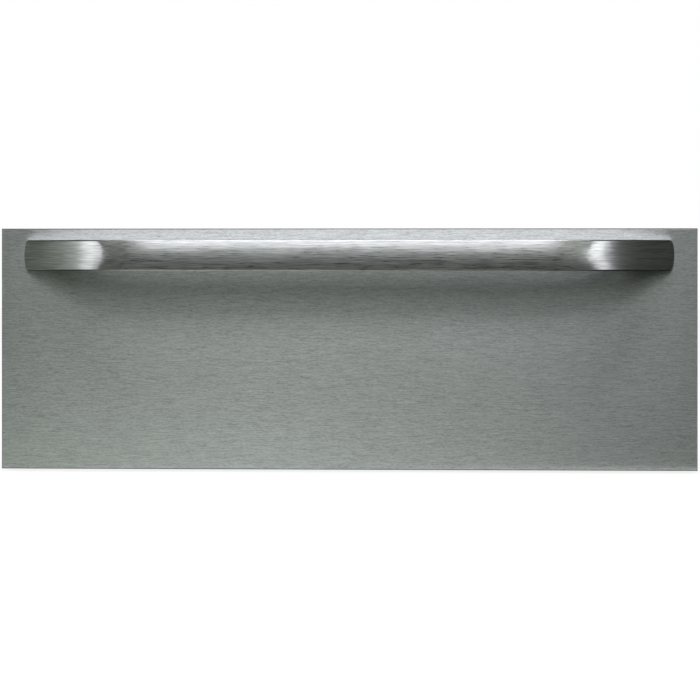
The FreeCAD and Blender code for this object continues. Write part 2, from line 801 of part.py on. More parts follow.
# ---------------------------------------------------------------- heating
def heating_element():
    """Serpentine tube under the pan, both ends out through the cavity's back, each with a terminal tab."""
    half = [(element_exit, element_end, element_z),
            (element_exit, element_rear, element_z),
            (element_outer_x, element_rear, element_z),
            (element_outer_x, element_front, element_z),
            (element_inner_x, element_front, element_z),
            (element_inner_x, element_turn, element_z)]
    other_half = [(-x, y, z) for x, y, z in reversed(half)]
    solids = [tube(half + other_half, element_bend, element_diameter)]
    for x in (-element_exit, element_exit):
        pin = rod((x, element_end, element_z), (0, 1, 0), terminal_pin, terminal_pin_length)
        tab_y = element_end + terminal_pin_length / 2
        tab = box(x - tab_width / 2, x + tab_width / 2, tab_y, tab_y + tab_length,
                  element_z - tab_sheet / 2, element_z + tab_sheet / 2)
        solids.append(join(pin, tab))
    return solids


def element_clips():
    """Steel clips that carry the element above the reflector."""
    clips = []
    rest = cavity_floor + reflector_sheet
    top = element_z + element_radius + clip_rise
    for x in (-element_outer_x, -element_inner_x, element_inner_x, element_outer_x):
        for y in (element_front + clip_inset, element_turn - clip_inset):
            foot = box(x - clip_width / 2, x + clip_width / 2, y, y + clip_width, rest, rest + clip_sheet)
            ear = box(x - clip_width / 2, x + clip_width / 2, y, y + clip_sheet, rest, top)
            bore = hole((x, y, element_z), (0, 1, 0), element_diameter + 2 * loose_gap)
            clips.append(join(foot, ear).cut(bore))
    return clips


def heat_reflector():
    """Shallow bright tray on the cavity's floor."""
    half = bracket_inner - reflector_inset
    back = cavity_back - reflector_margin
    tray = box(-half, half, reflector_margin, back, cavity_floor, cavity_floor + reflector_edge)
    sheet = reflector_sheet
    return tray.cut(box(sheet - half, half - sheet, reflector_margin + sheet, back - sheet,
                        cavity_floor + sheet, cavity_floor + reflector_edge + 1))


def element_bushes():
    """Ceramic bushes where the element passes through the cavity's back."""
    bushes = []
    for x in (-element_exit, element_exit):
        start = (x, cavity_back - bush_flange_sheet, element_z)
        body = rod(start, (0, 1, 0), bush_diameter, bush_length)
        flange = rod(start, (0, 1, 0), bush_flange, bush_flange_sheet)
        bore = hole((x, cavity_back, element_z), (0, 1, 0), element_diameter + 2 * loose_gap, 4 * bush_length)
        bushes.append(join(body, flange).cut(bore))
    return bushes


def thermal_limiter():
    """Snap-disc cut-out on the cavity's roof, with two tabs."""
    half = limiter_ear_width / 2
    plate = box(limiter_x - limiter_ear - half, limiter_x + limiter_ear + half, limiter_y - half,
                limiter_y + half, liner_top, liner_top + tab_sheet)
    body = rod((limiter_x, limiter_y, liner_top), (0, 0, 1), limiter_diameter, limiter_height)
    low = liner_top + limiter_height
    tabs = [box(limiter_x - tab_width / 2, limiter_x + tab_width / 2, y - tab_sheet / 2, y + tab_sheet / 2,
                low, low + tab_length)
            for y in (limiter_y - limiter_tab_gap / 2, limiter_y + limiter_tab_gap / 2)]
    limiter = join(plate, body, *tabs)
    for x in (limiter_x - limiter_ear, limiter_x + limiter_ear):
        limiter = limiter.cut(hole((x, limiter_y, liner_top), (0, 0, 1), m3_thread, 6))
    return limiter


def temperature_sensor():
    """Liquid-filled bulb below the ceiling, and its capillary through the back wall to the thermostat."""
    bulb = rod((capillary_x, bulb_y, bulb_z), (1, 0, 0), bulb_diameter, bulb_length)
    level = slab_top + capillary_diameter / 2
    rise = thermostat_depth + 3 * capillary_bend
    route = [(knob_x, thermostat_depth, control_z), (knob_x, rise, control_z),
             (knob_x, rise + 2 * capillary_bend, level), (knob_x, bay_y, level),
             (capillary_x, bay_y, level), (capillary_x, bay_y, bulb_z), (capillary_x, bulb_y, bulb_z)]
    tight = min(capillary_bend, abs(bay_y - bulb_y) * 0.45)
    return join(tube(route, tight, capillary_diameter), bulb)


def sensor_clips():
    """Two sprung clips that hold the bulb on the back wall."""
    clips = []
    half = bulb_clip_height / 2
    for x in (capillary_x + bulb_clip_inset, capillary_x + bulb_length - bulb_clip_inset):
        end = x + bulb_clip_width
        ring = rod((x, bulb_y, bulb_z), (1, 0, 0), bulb_diameter + 2 * bulb_clip_sheet, bulb_clip_width)
        stem = box(x, end, bulb_y, cavity_back, bulb_z - bulb_clip_sheet, bulb_z + bulb_clip_sheet)
        plate = box(x, end, cavity_back - bulb_clip_sheet, cavity_back, bulb_z - half, bulb_z + half)
        bore = rod((x - 1, bulb_y, bulb_z), (1, 0, 0), bulb_diameter + 2 * running_gap, bulb_clip_width + 2)
        clips.append(join(ring, stem, plate).cut(bore))
    return clips


# ---------------------------------------------------------------- controls
def thermostat_body():
    """Capillary thermostat behind the frame, with its threaded neck and the nut that clamps it."""
    half = thermostat_size / 2
    case = rounded_box(knob_x - half, knob_x + half, 0, thermostat_depth, control_z - half, control_z + half,
                       thermostat_corner, 1)
    neck = rod((knob_x, 0, control_z), (0, -1, 0), neck_diameter, neck_length)
    bore = rod((knob_x, spindle_seat + fit_gap, control_z), (0, -1, 0), spindle_diameter + 2 * running_gap,
               spindle_seat + neck_length + 1)
    nut = hexagon(knob_x, fascia_face - nut_thickness, fascia_face, control_z, nut_flats)
    nut = nut.cut(hole((knob_x, fascia_face, control_z), (0, 1, 0), neck_diameter + 2 * running_gap))
    return join(case, neck).cut(bore), nut


def thermostat_spindle():
    """Turning shaft with a flat for the knob."""
    spindle = rod((knob_x, spindle_seat, control_z), (0, -1, 0), spindle_diameter, spindle_seat - spindle_tip)
    top = control_z + spindle_diameter / 2
    return spindle.cut(box(knob_x - spindle_diameter, knob_x + spindle_diameter, spindle_tip - 1,
                           knob_back - knob_recess + 1, top - spindle_flat, top + 1))


def thermostat_knob():
    """Skirted knob, hollow behind for the nut, with a D-shaped socket and a pointer groove."""
    skirt = rod((knob_x, knob_back, control_z), (0, -1, 0), knob_diameter, knob_skirt)
    cap = rod((knob_x, knob_back, control_z), (0, -1, 0), knob_diameter - 2 * knob_skirt_width, knob_height)
    cap = cap.makeFillet(knob_edge, edges_at(cap, "YMin", knob_back - knob_height))
    knob = join(skirt, cap)
    knob = knob.cut(rod((knob_x, knob_back + 1, control_z), (0, -1, 0), nut_flats * 2 / math.sqrt(3) + 1,
                        knob_recess + 1))
    gap = fit_gap / 3
    socket = rod((knob_x, knob_back, control_z), (0, -1, 0), spindle_diameter + 2 * gap, spindle_grip + gap)
    top = control_z + spindle_diameter / 2
    flat = box(knob_x - spindle_diameter, knob_x + spindle_diameter, spindle_tip - 1,
               knob_back - knob_recess, top - spindle_flat + gap, top + 1)
    groove = box(knob_x - knob_mark / 2, knob_x + knob_mark / 2, knob_back - knob_height - 1,
                 knob_back - knob_height + knob_mark / 2, control_z + knob_diameter / 8,
                 control_z + knob_diameter)
    return knob.cut(socket.cut(flat)).cut(groove)


def power_switch_body():
    """Snap-in switch housing with a bezel, a well for the rocker, and two tabs."""
    half_w = switch_width / 2
    half_h = switch_height / 2
    housing = box(switch_x - half_w, switch_x + half_w, fascia_face, switch_depth, control_z - half_h,
                  control_z + half_h)
    bezel = rounded_box(switch_x - half_w - switch_rim, switch_x + half_w + switch_rim,
                        fascia_face - switch_bezel, fascia_face, control_z - half_h - switch_rim,
                        control_z + half_h + switch_rim, switch_rim * 0.9, 1)
    well = box(switch_x - half_w + switch_wall, switch_x + half_w - switch_wall,
               fascia_face - switch_bezel - 1, switch_well, control_z - half_h + switch_wall,
               control_z + half_h - switch_wall)
    tabs = [box(x - tab_sheet / 2, x + tab_sheet / 2, switch_depth, switch_depth + tab_length,
                control_z - tab_width / 2, control_z + tab_width / 2)
            for x in (switch_x - half_w / 2, switch_x + half_w / 2)]
    return join(housing, bezel, *tabs).cut(well)


def power_rocker():
    """Rocker, pressed at its left, off side. Its face is a shallow V about the pivot."""
    half_w = switch_width / 2 - switch_wall - 3 * fit_gap
    half_h = switch_height / 2 - switch_wall - fit_gap
    rise = fascia_face - switch_bezel - fit_gap
    outline = [V(-half_w, rise, 0), V(0, rise + rocker_crown, 0), V(half_w, rise, 0),
               V(half_w - rocker_taper, switch_wall, 0), V(rocker_foot, rocker_foot_depth, 0),
               V(-rocker_foot, rocker_foot_depth, 0), V(rocker_taper - half_w, switch_wall, 0),
               V(-half_w, rise, 0)]
    rocker = Part.Face(Part.makePolygon(outline)).extrude(V(0, 0, 2 * half_h))
    rocker.translate(V(switch_x, 0, control_z - half_h))
    rocker.rotate(V(switch_x, rocker_pivot, control_z), V(0, 0, 1), -rocker_tilt)
    return rocker


def pilot_lens():
    """Amber lens with a collar on the fascia."""
    collar = rod((lamp_x, fascia_face, control_z), (0, -1, 0), lamp_diameter + 2 * lens_collar,
                 lens_collar_height)
    front = fascia_face - lens_collar_height
    dome = rod((lamp_x, front, control_z), (0, -1, 0), lamp_diameter - lens_collar_height, lens_dome)
    return join(collar, dome.makeFillet(lens_edge, edges_at(dome, "YMin", front - lens_dome)))


def pilot_lamp_body():
    """Barrel of the lamp with two solder tabs."""
    back = fascia_face + lamp_length
    shell = rod((lamp_x, fascia_face, control_z), (0, 1, 0), lamp_diameter, lamp_length)
    tabs = [box(x - tab_sheet / 2, x + tab_sheet / 2, back, back + tab_length, control_z - tab_width / 4,
                control_z + tab_width / 4)
            for x in (lamp_x - lamp_diameter / 4, lamp_x + lamp_diameter / 4)]
    return join(shell, *tabs)


def control_fascia():
    """Strip on the frame above the opening."""
    return cut_controls(rounded_box(fascia_right - fascia_width, fascia_right, fascia_face, frame_face,
                                    control_z - fascia_height / 2, control_z + fascia_height / 2,
                                    fascia_corner, 1))


# ---------------------------------------------------------------- mains inlet and wiring
def cable_gland():
    """Gland in the rear cover, with its nut inside."""
    neck = rod((inlet_x, case_back, inlet_z), (0, -1, 0), inlet_neck, inlet_neck_length)
    flange = rod((inlet_x, case_back, inlet_z), (0, 1, 0), gland_flange, gland_flange_sheet)
    cone = Part.makeCone(gland_flange / 2 - gland_flange_sheet, inlet_neck / 2, gland_cone,
                         V(inlet_x, case_back + gland_flange_sheet, inlet_z), V(0, 1, 0))
    bore = hole((inlet_x, case_back, inlet_z), (0, 1, 0), inlet_bore, 4 * inlet_neck_length)
    nut = hexagon(inlet_x, back_inner - gland_nut_thickness, back_inner, inlet_z, gland_nut_flats)
    nut = nut.cut(hole((inlet_x, back_inner, inlet_z), (0, 1, 0), inlet_neck + 2 * running_gap))
    return join(neck, flange, cone).cut(bore), nut


def terminal_places():
    """X of the three terminals."""
    return [terminal_x + i * terminal_pitch for i in (-1, 0, 1)]


def terminal_block():
    """Three-way block on the rear cover's inside, with a well for each screw."""
    front = back_inner - terminal_depth
    block = box(terminal_x - terminal_width / 2, terminal_x + terminal_width / 2, front, back_inner,
                inlet_z - terminal_height / 2, inlet_z + terminal_height / 2)
    for x in terminal_places():
        block = block.cut(rod((x, front - 1, inlet_z), (0, 1, 0), terminal_well, terminal_well_depth + 1))
        block = block.cut(rod((x, front, inlet_z), (0, 1, 0), m3_thread, terminal_well_depth + m3_length + 1))
    return block


def small_screws():
    """Identical screws of the terminal block and the limiter."""
    seat = back_inner - terminal_depth + terminal_well_depth
    screws = [m3_screw((x, seat, inlet_z), (0, -1, 0)) for x in terminal_places()]
    for x in (limiter_x - limiter_ear, limiter_x + limiter_ear):
        screws.append(m3_screw((x, limiter_y, liner_top + tab_sheet), (0, 0, 1)))
    return screws


def wiring_loom():
    """Bundle from the terminal block over the insulation, and its leads to each electrical part."""
    block_y = back_inner - terminal_depth / 4
    block_top = inlet_z + terminal_height / 2
    block_under = inlet_z - terminal_height / 2
    end_x = switch_x - 2 * switch_width
    solids = [tube([(terminal_x, block_y, block_top), (terminal_x, block_y, loom_z),
                    (terminal_x, loom_place, loom_z), (end_x, loom_place, loom_z)], wire_bend, wire_bundle)]
    goals = [(switch_x - switch_width / 4, switch_depth + tab_length),
             (lamp_x - lamp_diameter / 4, fascia_face + lamp_length + tab_length),
             (knob_x - thermostat_size / 4, thermostat_depth)]
    for row, (x, y) in enumerate(goals):
        lead_y = loom_place + (row - 1) * wire_lead
        route = [(end_x, lead_y, loom_z), (x, lead_y, loom_z), (x, y + wire_bend, control_z),
                 (x, y, control_z)]
        solids.append(tube(route, wire_lead, wire_lead))
    for row, x in enumerate((-element_exit, element_exit)):
        from_x = terminal_x + row * terminal_pitch
        level = element_z + 3 * wire_bend + row * 2 * wire_bend
        solids.append(tube([(from_x, block_y, block_under), (from_x, block_y, level), (x, block_y, level),
                            (x, block_y, element_z + tab_sheet / 2)], wire_bend, wire_lead))
    tab_top = liner_top + limiter_height + tab_length
    for y in (limiter_y - limiter_tab_gap / 2, limiter_y + limiter_tab_gap / 2):
        solids.append(tube([(terminal_x + wire_bundle / 2, y, loom_z), (limiter_x, y, loom_z),
                            (limiter_x, y, tab_top)], wire_lead, wire_lead))
    return solids


# ---------------------------------------------------------------- drawer front
def front_skin():
    """Brushed stainless outer panel, folded back on all four sides."""
    outer = box(-half_front, half_front, front_face, -front_return_gap, front_bottom, front_top)
    outer = outer.makeFillet(front_bend, edges_at(outer, "YMin", front_face))
    inner = box(-half_front + front_sheet, half_front - front_sheet, front_back, 0,
                front_bottom + front_sheet, front_top - front_sheet)
    skin = outer.cut(inner.makeFillet(front_fold_bend, edges_at(inner, "YMin", front_back)))
    for x in (-handle_screw_x, handle_screw_x):
        skin = skin.cut(hole((x, front_face, handle_z), (0, 1, 0), handle_screw))
    return skin


def handle_arcs(offset):
    """Right half of one side of the handle's plan, moved inwards by an offset: three tangent arcs that ease
    back, bend, and run down the leg. Each is the centre (x, distance ahead of the front), the radius and the
    angles at its ends."""
    radii = (handle_ease_radius, handle_bend_radius, handle_leg_radius)
    ease = math.radians(handle_ease_angle)
    bend = math.radians(handle_bend_angle)
    reach = handle_reach + handle_crown_cut
    ahead = reach - radii[0] * (1 - math.cos(ease)) - radii[1] * (math.cos(ease) - math.cos(bend))
    tip = math.acos(math.cos(bend) - ahead / radii[2])
    span = (radii[0] * math.sin(ease) + radii[1] * (math.sin(bend) - math.sin(ease))
            + radii[2] * (math.sin(tip) - math.sin(bend)))
    x = handle_half + handle_tip - span
    y = reach - radii[0]
    arcs = []
    for i, (start, stop) in enumerate(((0, ease), (ease, bend), (bend, tip))):
        if i:
            x += (radii[i - 1] - radii[i]) * math.sin(start)
            y += (radii[i - 1] - radii[i]) * math.cos(start)
        radius = radii[i] - offset
        arcs.append((x, y, radius, start, math.acos(-y / radius) if i == 2 else stop))
    return arcs


def handle_side(offset):
    """The arcs of one side as three points each."""
    return [[(x + radius * math.sin(a), y + radius * math.cos(a)) for a in (start, (start + stop) / 2, stop)]
            for x, y, radius, start, stop in handle_arcs(offset)]


def handle_plan():
    """Face of the handle's plan: its outer side, its two feet and its inner side."""

    def at(point, side):
        return V(side * point[0], front_face - point[1], 0)

    def arcs(offset, side):
        return [Part.Arc(*[at(p, side) for p in arc]).toShape() for arc in handle_side(offset)]

    edges = []
    for side in (-1, 1):
        edges.extend(arcs(0, side) + arcs(handle_thickness, side))
        foot = [handle_side(offset)[2][2] for offset in (0, handle_thickness)]
        edges.append(Part.makeLine(at(foot[0], side), at(foot[1], side)))
    for offset in (0, handle_thickness):
        middle = handle_side(offset)[0][0]
        edges.append(Part.makeLine(at(middle, -1), at(middle, 1)))
    return Part.Face(Part.Wire(Part.__sortEdges__(edges)))


def crown_sag(x, bend_x):
    """Depth from the crest of the handle's face to its top and bottom edges at a place along it."""
    along, down = (radius - math.sqrt(radius ** 2 - handle_height ** 2 / 4)
                   for radius in (handle_crown, handle_leg_crown))
    share = min(max((x - bend_x + handle_crown_lead) / handle_crown_fade, 0), 1)
    return along + (down - along) * share * share * (3 - 2 * share)


def crown_section(x, y, sag):
    """Outline across the handle at x, with its crest at y and everything behind it."""
    half = handle_height / 2
    top = V(x, y + sag, handle_z + half)
    low = V(x, y + sag, handle_z - half)
    back = front_face + handle_reach
    back_top = V(x, back, handle_z + half)
    back_low = V(x, back, handle_z - half)
    return Part.Wire([Part.Arc(low, V(x, y, handle_z), top).toShape(), Part.makeLine(top, back_top),
                      Part.makeLine(back_top, back_low), Part.makeLine(back_low, low)])


def crown_block():
    """Everything behind the handle's face, which is rounded from top to bottom and follows the plan. The
    rounding fades where the bar bends into its legs."""
    steps = 5
    bend_x = handle_side(0)[1][0][0]
    straight = handle_side(0)[0][0]
    places = [(straight[0] * i / steps, straight[1]) for i in range(steps)]
    for x, y, radius, start, stop in handle_arcs(0):
        angles = [start + (stop - start) * i / steps for i in range(steps)]
        places.extend((x + radius * math.sin(a), y + radius * math.cos(a)) for a in angles)
    places.append((x + radius * math.sin(stop), y + radius * math.cos(stop)))
    half = [(x, front_face - y + handle_crown_cut, crown_sag(x, bend_x)) for x, y in places]
    sections = [(-x, y, sag) for x, y, sag in reversed(half[1:])] + half
    return Part.makeLoft([crown_section(*section) for section in sections], True, False)


def end_block():
    """Everything inside the handle's outline as it is seen from the front, with bowed ends."""
    half = handle_height / 2
    y = front_face - handle_reach - 1
    bow = handle_half - handle_end_bow
    top_left = V(-bow, y, handle_z + half)
    top_right = V(bow, y, handle_z + half)
    low_left = V(-bow, y, handle_z - half)
    low_right = V(bow, y, handle_z - half)
    outline = Part.Wire([Part.makeLine(top_left, top_right),
                         Part.Arc(top_right, V(handle_half, y, handle_z), low_right).toShape(),
                         Part.makeLine(low_right, low_left),
                         Part.Arc(low_left, V(-handle_half, y, handle_z), top_left).toShape()])
    block = Part.Face(outline).extrude(V(0, handle_reach + 2, 0))
    return block.makeFillet(handle_corner, [e for e in block.Edges if e.BoundBox.YLength > handle_reach])


def handle():
    """Solid bar whose ends bend back to the front. It is rounded from top to bottom along the bar and nearly
    flat on the legs."""
    low = handle_z - handle_height / 2
    bar = handle_plan().extrude(V(0, 0, handle_height))
    bar.translate(V(0, 0, low))
    bar = bar.common(crown_block()).common(end_block())
    rims = edges_at(bar, "ZMin", low) + edges_at(bar, "ZMax", low + handle_height)
    ends = [e for e in bar.Edges if e.BoundBox.ZLength > handle_corner / 2
            and e.BoundBox.Center.x ** 2 > (handle_half - handle_end_bow - handle_corner) ** 2]
    clear = front_face - handle_tip / 10
    bar = bar.makeFillet(handle_edge_radius, [e for e in rims + ends if e.BoundBox.YMax < clear])
    for x in (-handle_screw_x, handle_screw_x):
        bar = bar.cut(rod((x, front_face + 1, handle_z), (0, -1, 0), handle_screw, handle_screw_depth + 1))
    return bar


def handle_backing_plates():
    """Steel plates that spread the handle's pull behind the skin."""
    low = handle_z - backing_height / 2
    plates = []
    for x in (-handle_screw_x, handle_screw_x):
        plate = rounded_box(x - backing_width / 2, x + backing_width / 2, front_back,
                            front_back + backing_sheet, low, low + backing_height, backing_corner, 1)
        plates.append(plate.cut(hole((x, front_back, handle_z), (0, 1, 0), handle_screw)))
    return plates


def handle_screws():
    """Screws from inside the front into the handle's feet."""
    length = handle_screw_depth + front_sheet + backing_sheet - 1
    return [pan_screw((x, front_back + backing_sheet, handle_z), (0, 1, 0), handle_screw, length,
                      m6_head, m6_head_height)
            for x in (-handle_screw_x, handle_screw_x)]


def front_screw_places():
    """X and Z of the screws that hold the brackets and the pan's front rest to the inner front."""
    x = bracket_inner - bracket_front_flange / 2
    levels = (bracket_low + bracket_screw_inset, rim_under - bracket_front_drop - bracket_screw_inset)
    places = [(side * x, z) for side in (-1, 1) for z in levels]
    rest_z = rim_under - rest_height + rest_screw_rise
    return places + [(side * rest_screw_share * pan_half, rest_z) for side in (-1, 0, 1)]


def vent_slot(x):
    """Cutter for one vent slot, through the inner front and the shutter."""
    low = vent_z - vent_slot_height / 2
    half = vent_slot_width / 2
    return box(x - half, x + half, inner_face - 1, 0, low, low + vent_slot_height)


def front_inner_panel():
    """Stainless tray behind the skin that closes the cavity, with moisture vent slots near its top."""
    sheet = case_sheet
    outer = rounded_box(-inner_half, inner_half, front_back, inner_back, inner_bottom, inner_top,
                        inner_front_corner, 1)
    grow = inner_front_lip
    lip = rounded_box(-inner_half - grow, inner_half + grow, front_back, front_back + sheet,
                      inner_bottom - grow, inner_top + grow, inner_front_corner, 1)
    hollow = rounded_box(sheet - inner_half, inner_half - sheet, front_back - 1, inner_face,
                         inner_bottom + sheet, inner_top - sheet, inner_corner, 1)
    panel = join(outer, lip).cut(hollow)
    for x in vent_xs:
        panel = panel.cut(vent_slot(x))
    middle = (front_back + inner_back) / 2
    for i in range(-2, 3):
        x = i * breather_pitch
        panel = panel.cut(rounded_box(x - breather_length / 2, x + breather_length / 2,
                                      middle - breather_width / 2, middle + breather_width / 2,
                                      inner_top - 2 * sheet, inner_top + sheet,
                                      breather_width * slot_round, 2))
    for x, z in front_screw_places():
        panel = panel.cut(hole((x, inner_back, z), (0, 1, 0), m4_thread, 8))
    return panel


def front_insulation():
    """Slab inside the front, below the vent's air space."""
    half = inner_half - case_sheet - fit_gap
    top = vent_z - vent_plate_height / 2 - vent_rail_lip
    slab = rounded_box(-half, half, front_back, inner_face, inner_bottom + case_sheet + fit_gap, top,
                       inner_corner, 1)
    for x, z in front_screw_places():
        slab = slab.cut(hole((x, inner_face, z), (0, 1, 0), m4_thread + 2 * screw_room, 2 * m4_length))
    return slab


def vent_shutter():
    """Sliding shutter over the vent slots, open at rest, with a finger button between two slots."""
    half = ((vent_slots - 1) * vent_pitch + vent_slot_width) / 2 + vent_margin
    y = inner_back + fit_gap
    low = vent_z - vent_plate_height / 2
    plate = box(-half, half, y, y + vent_sheet, low, low + vent_plate_height)
    for x in vent_xs:
        plate = plate.cut(vent_slot(x))
    button = rod((vent_xs[-1] - vent_pitch / 2, y, vent_z), (0, 1, 0), vent_button, vent_button_height)
    return join(plate, button.makeFillet(vent_button_edge, edges_at(button, "YMax", y + vent_button_height)))


def vent_rails():
    """Two folded guides on the inner front that hold the shutter."""
    half = ((vent_slots - 1) * vent_pitch + vent_slot_width) / 2 + vent_margin + vent_travel
    lip_y = inner_back + 2 * fit_gap + vent_sheet
    edge = vent_plate_height / 2 + fit_gap
    web = box(-half, half, inner_back, lip_y, vent_z + edge, vent_z + edge + vent_rail_web)
    lip = box(-half, half, lip_y, lip_y + vent_rail_sheet, vent_z + edge - vent_rail_lip,
              vent_z + edge + vent_rail_web)
    upper = join(web, lip)
    return upper, upper.mirror(V(0, 0, vent_z), V(0, 0, 1))


# ---------------------------------------------------------------- drawer body
def side_bracket():
    """Right-hand drawer side: a plate on the slide with flanges for the front and for the pan's rim."""
    web = box(bracket_inner, bracket_outer, inner_back, drawer_back, bracket_low, rim_under)
    top = box(bracket_inner - bracket_flange, bracket_outer, pan_front - pan_front_rim + pan_edge_gap,
              drawer_back, rim_under - bracket_sheet, rim_under)
    front = box(bracket_inner - bracket_front_flange, bracket_outer, inner_back, inner_back + bracket_sheet,
                bracket_low, rim_under - bracket_front_drop)
    bracket = join(web, top, front)
    for x, z in front_screw_places():
        bracket = bracket.cut(hole((x, inner_back, z), (0, 1, 0), m4_thread, 8))
    for y in slide_screw_ys:
        bracket = bracket.cut(hole((bracket_inner, y, slide_z), (1, 0, 0), m4_thread, 6))
    return bracket


def rear_cross_rail():
    """Rail between the brackets' back ends, with a shelf for the pan's rim."""
    web = box(-bracket_inner, bracket_inner, drawer_back - bracket_sheet, drawer_back,
              rim_under - rail_height, rim_under - bracket_sheet)
    shelf = box(-shelf_half, shelf_half, pan_back + pan_edge_gap, drawer_back, rim_under - bracket_sheet,
                rim_under)
    return join(web, shelf)


def pan_front_rest():
    """Angle on the inner front that carries the pan's front rim."""
    wall = box(-pan_half + pan_side_gap, pan_half - pan_side_gap, inner_back, inner_back + bracket_sheet,
               rim_under - rest_height, rim_under)
    ledge = box(-pan_half + pan_side_gap, pan_half - pan_side_gap, inner_back, pan_front - pan_edge_gap,
                rim_under - bracket_sheet, rim_under)
    rest = join(wall, ledge)
    for x, z in front_screw_places():
        rest = rest.cut(hole((x, inner_back, z), (0, 1, 0), m4_thread, 8))
    return rest


def drawer_screws():
    """Identical screws of the drawer's front and of its slides."""
    seat = inner_back + bracket_sheet
    screws = [m4_drawer_screw((x, seat, z), (0, 1, 0)) for x, z in front_screw_places()]
    for side in (-1, 1):
        for y in slide_screw_ys:
            screws.append(m4_drawer_screw((side * bracket_inner, y, slide_z), (-side, 0, 0)))
    return screws


def m4_drawer_screw(seat, out):
    """Short enough to end inside the slide's inner member."""
    length = bracket_sheet + slide_gauge + drawer_screw_reach
    return pan_screw(seat, out, m4_thread, length, m4_head, m4_head_height)


def pan_block(inset, top):
    """Block with the pan's shape, taken in by an inset."""
    floor = pan_low + inset
    block = rounded_box(-pan_half + inset, pan_half - inset, pan_front + inset, pan_back - inset,
                        floor, top, pan_corner - inset, 2)
    return block.makeFillet(pan_floor_radius - inset, edges_at(block, "ZMin", floor))


def warming_pan():
    """Deep-drawn stainless pan with a flat rim."""
    top = rim_under + pan_sheet
    rim = rounded_box(-pan_half - pan_rim_width, pan_half + pan_rim_width, pan_front - pan_front_rim,
                      pan_back + pan_front_rim, rim_under, top, pan_corner / 2, 2)
    return join(pan_block(0, top), rim).cut(pan_block(pan_sheet, top + 1))


def wire_rack():
    """Welded wire rack that lies in the pan."""
    floor = pan_low + pan_sheet + rack_frame_wire / 2
    z = floor + rack_lift
    x = pan_half - pan_sheet - rack_margin
    y0 = pan_front + pan_sheet + rack_margin
    y1 = pan_back - pan_sheet - rack_margin
    half_ring = tube([(0, y0, z), (x, y0, z), (x, y1, z), (0, y1, z)], rack_bend, rack_frame_wire)
    wires = []
    pitch = 2 * (x - rack_edge) / (rack_wires - 1)
    for i in range(rack_wires):
        place = (rack_edge - x + i * pitch, y0, z + rack_wire_rise)
        wires.append(rod(place, (0, 1, 0), rack_wire, y1 - y0))
    legs = []
    inner = x - rack_leg_inset
    for y in (y0 + rack_leg_place, y1 - rack_leg_place):
        legs.append(tube([(-x, y, z), (-inner, y, z), (-inner, y, floor), (inner, y, floor), (inner, y, z),
                          (x, y, z)], rack_leg_bend, rack_frame_wire))
    return join(half_ring, mirrored(half_ring), *wires, *legs)


# ---------------------------------------------------------------- assembly
add("base_pan", base_pan())
add("right_side_panel", side_panel())
add("left_side_panel", mirrored(side_panel()))
add("top_cover", top_cover())
add("rear_cover", rear_cover())
add("front_frame", front_frame())
add("cavity_liner", cavity_liner())
add("floor_insulation", floor_slab())
add("insulation_wrap", insulation_wrap())
add("rear_insulation", rear_slab())
add("drawer_seal", drawer_seal())
rubber_feet()
add("case_screws", *case_screws())
slides()
add("slide_wall_screws", *slide_wall_screws())
add("heating_element", *heating_element())
add("cavity_clips", *element_clips(), *sensor_clips())
add("element_bushes", *element_bushes())
add("heat_reflector", heat_reflector())
add("thermal_limiter", thermal_limiter())
add("temperature_sensor", temperature_sensor())
add("thermostat_body", *thermostat_body())
add("thermostat_spindle", thermostat_spindle())
add("thermostat_knob", thermostat_knob())
add("power_switch_body", power_switch_body())
add("power_rocker", power_rocker())
add("pilot_lens", pilot_lens())
add("pilot_lamp_body", pilot_lamp_body())
add("control_fascia", control_fascia())
add("cable_gland", *cable_gland())
add("terminal_block", terminal_block())
add("small_screws", *small_screws())
add("wiring_loom", *wiring_loom())
add("front_skin", front_skin())
add("handle", handle())
add("handle_backing_plates", *handle_backing_plates())
add("handle_screws", *handle_screws())
add("front_inner_panel", front_inner_panel())
add("front_insulation", front_insulation())
add("vent_shutter", vent_shutter())
add("vent_rails", *vent_rails())
add("right_drawer_bracket", side_bracket())
add("left_drawer_bracket", mirrored(side_bracket()))
add("rear_cross_rail", rear_cross_rail())
add("pan_front_rest", pan_front_rest())
add("drawer_screws", *drawer_screws())
add("warming_pan", warming_pan())
add("wire_rack", wire_rack())

os.makedirs("parts", exist_ok=True)
for name, shape in sorted(nodes.items()):
    shape.exportStep(f"parts/{name}.step")
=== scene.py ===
"""Finishes of a warming drawer: a heated, insulated case, a pan on telescopic slides, and a brushed steel
front with a bar handle. Metres. The front faces -Y, +X is to the right and the feet stand on Z = 0.
"""

import math

import bmesh
import bpy
from mathutils import Matrix, Vector, noise


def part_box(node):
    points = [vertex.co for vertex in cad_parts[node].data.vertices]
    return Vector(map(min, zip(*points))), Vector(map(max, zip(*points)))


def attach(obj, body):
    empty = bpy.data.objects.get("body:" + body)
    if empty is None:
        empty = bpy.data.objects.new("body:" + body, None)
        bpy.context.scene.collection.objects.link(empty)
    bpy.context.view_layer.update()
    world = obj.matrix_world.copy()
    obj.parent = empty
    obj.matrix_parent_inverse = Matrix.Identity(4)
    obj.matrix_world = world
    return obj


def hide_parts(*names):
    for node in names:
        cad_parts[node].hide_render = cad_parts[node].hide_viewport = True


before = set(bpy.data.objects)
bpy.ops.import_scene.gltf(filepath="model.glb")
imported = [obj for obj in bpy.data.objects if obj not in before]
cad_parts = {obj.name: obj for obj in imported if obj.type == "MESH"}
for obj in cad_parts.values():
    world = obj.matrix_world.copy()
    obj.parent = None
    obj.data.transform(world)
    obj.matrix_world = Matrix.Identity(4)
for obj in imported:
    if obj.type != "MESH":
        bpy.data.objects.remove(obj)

bpy.context.view_layer.update()


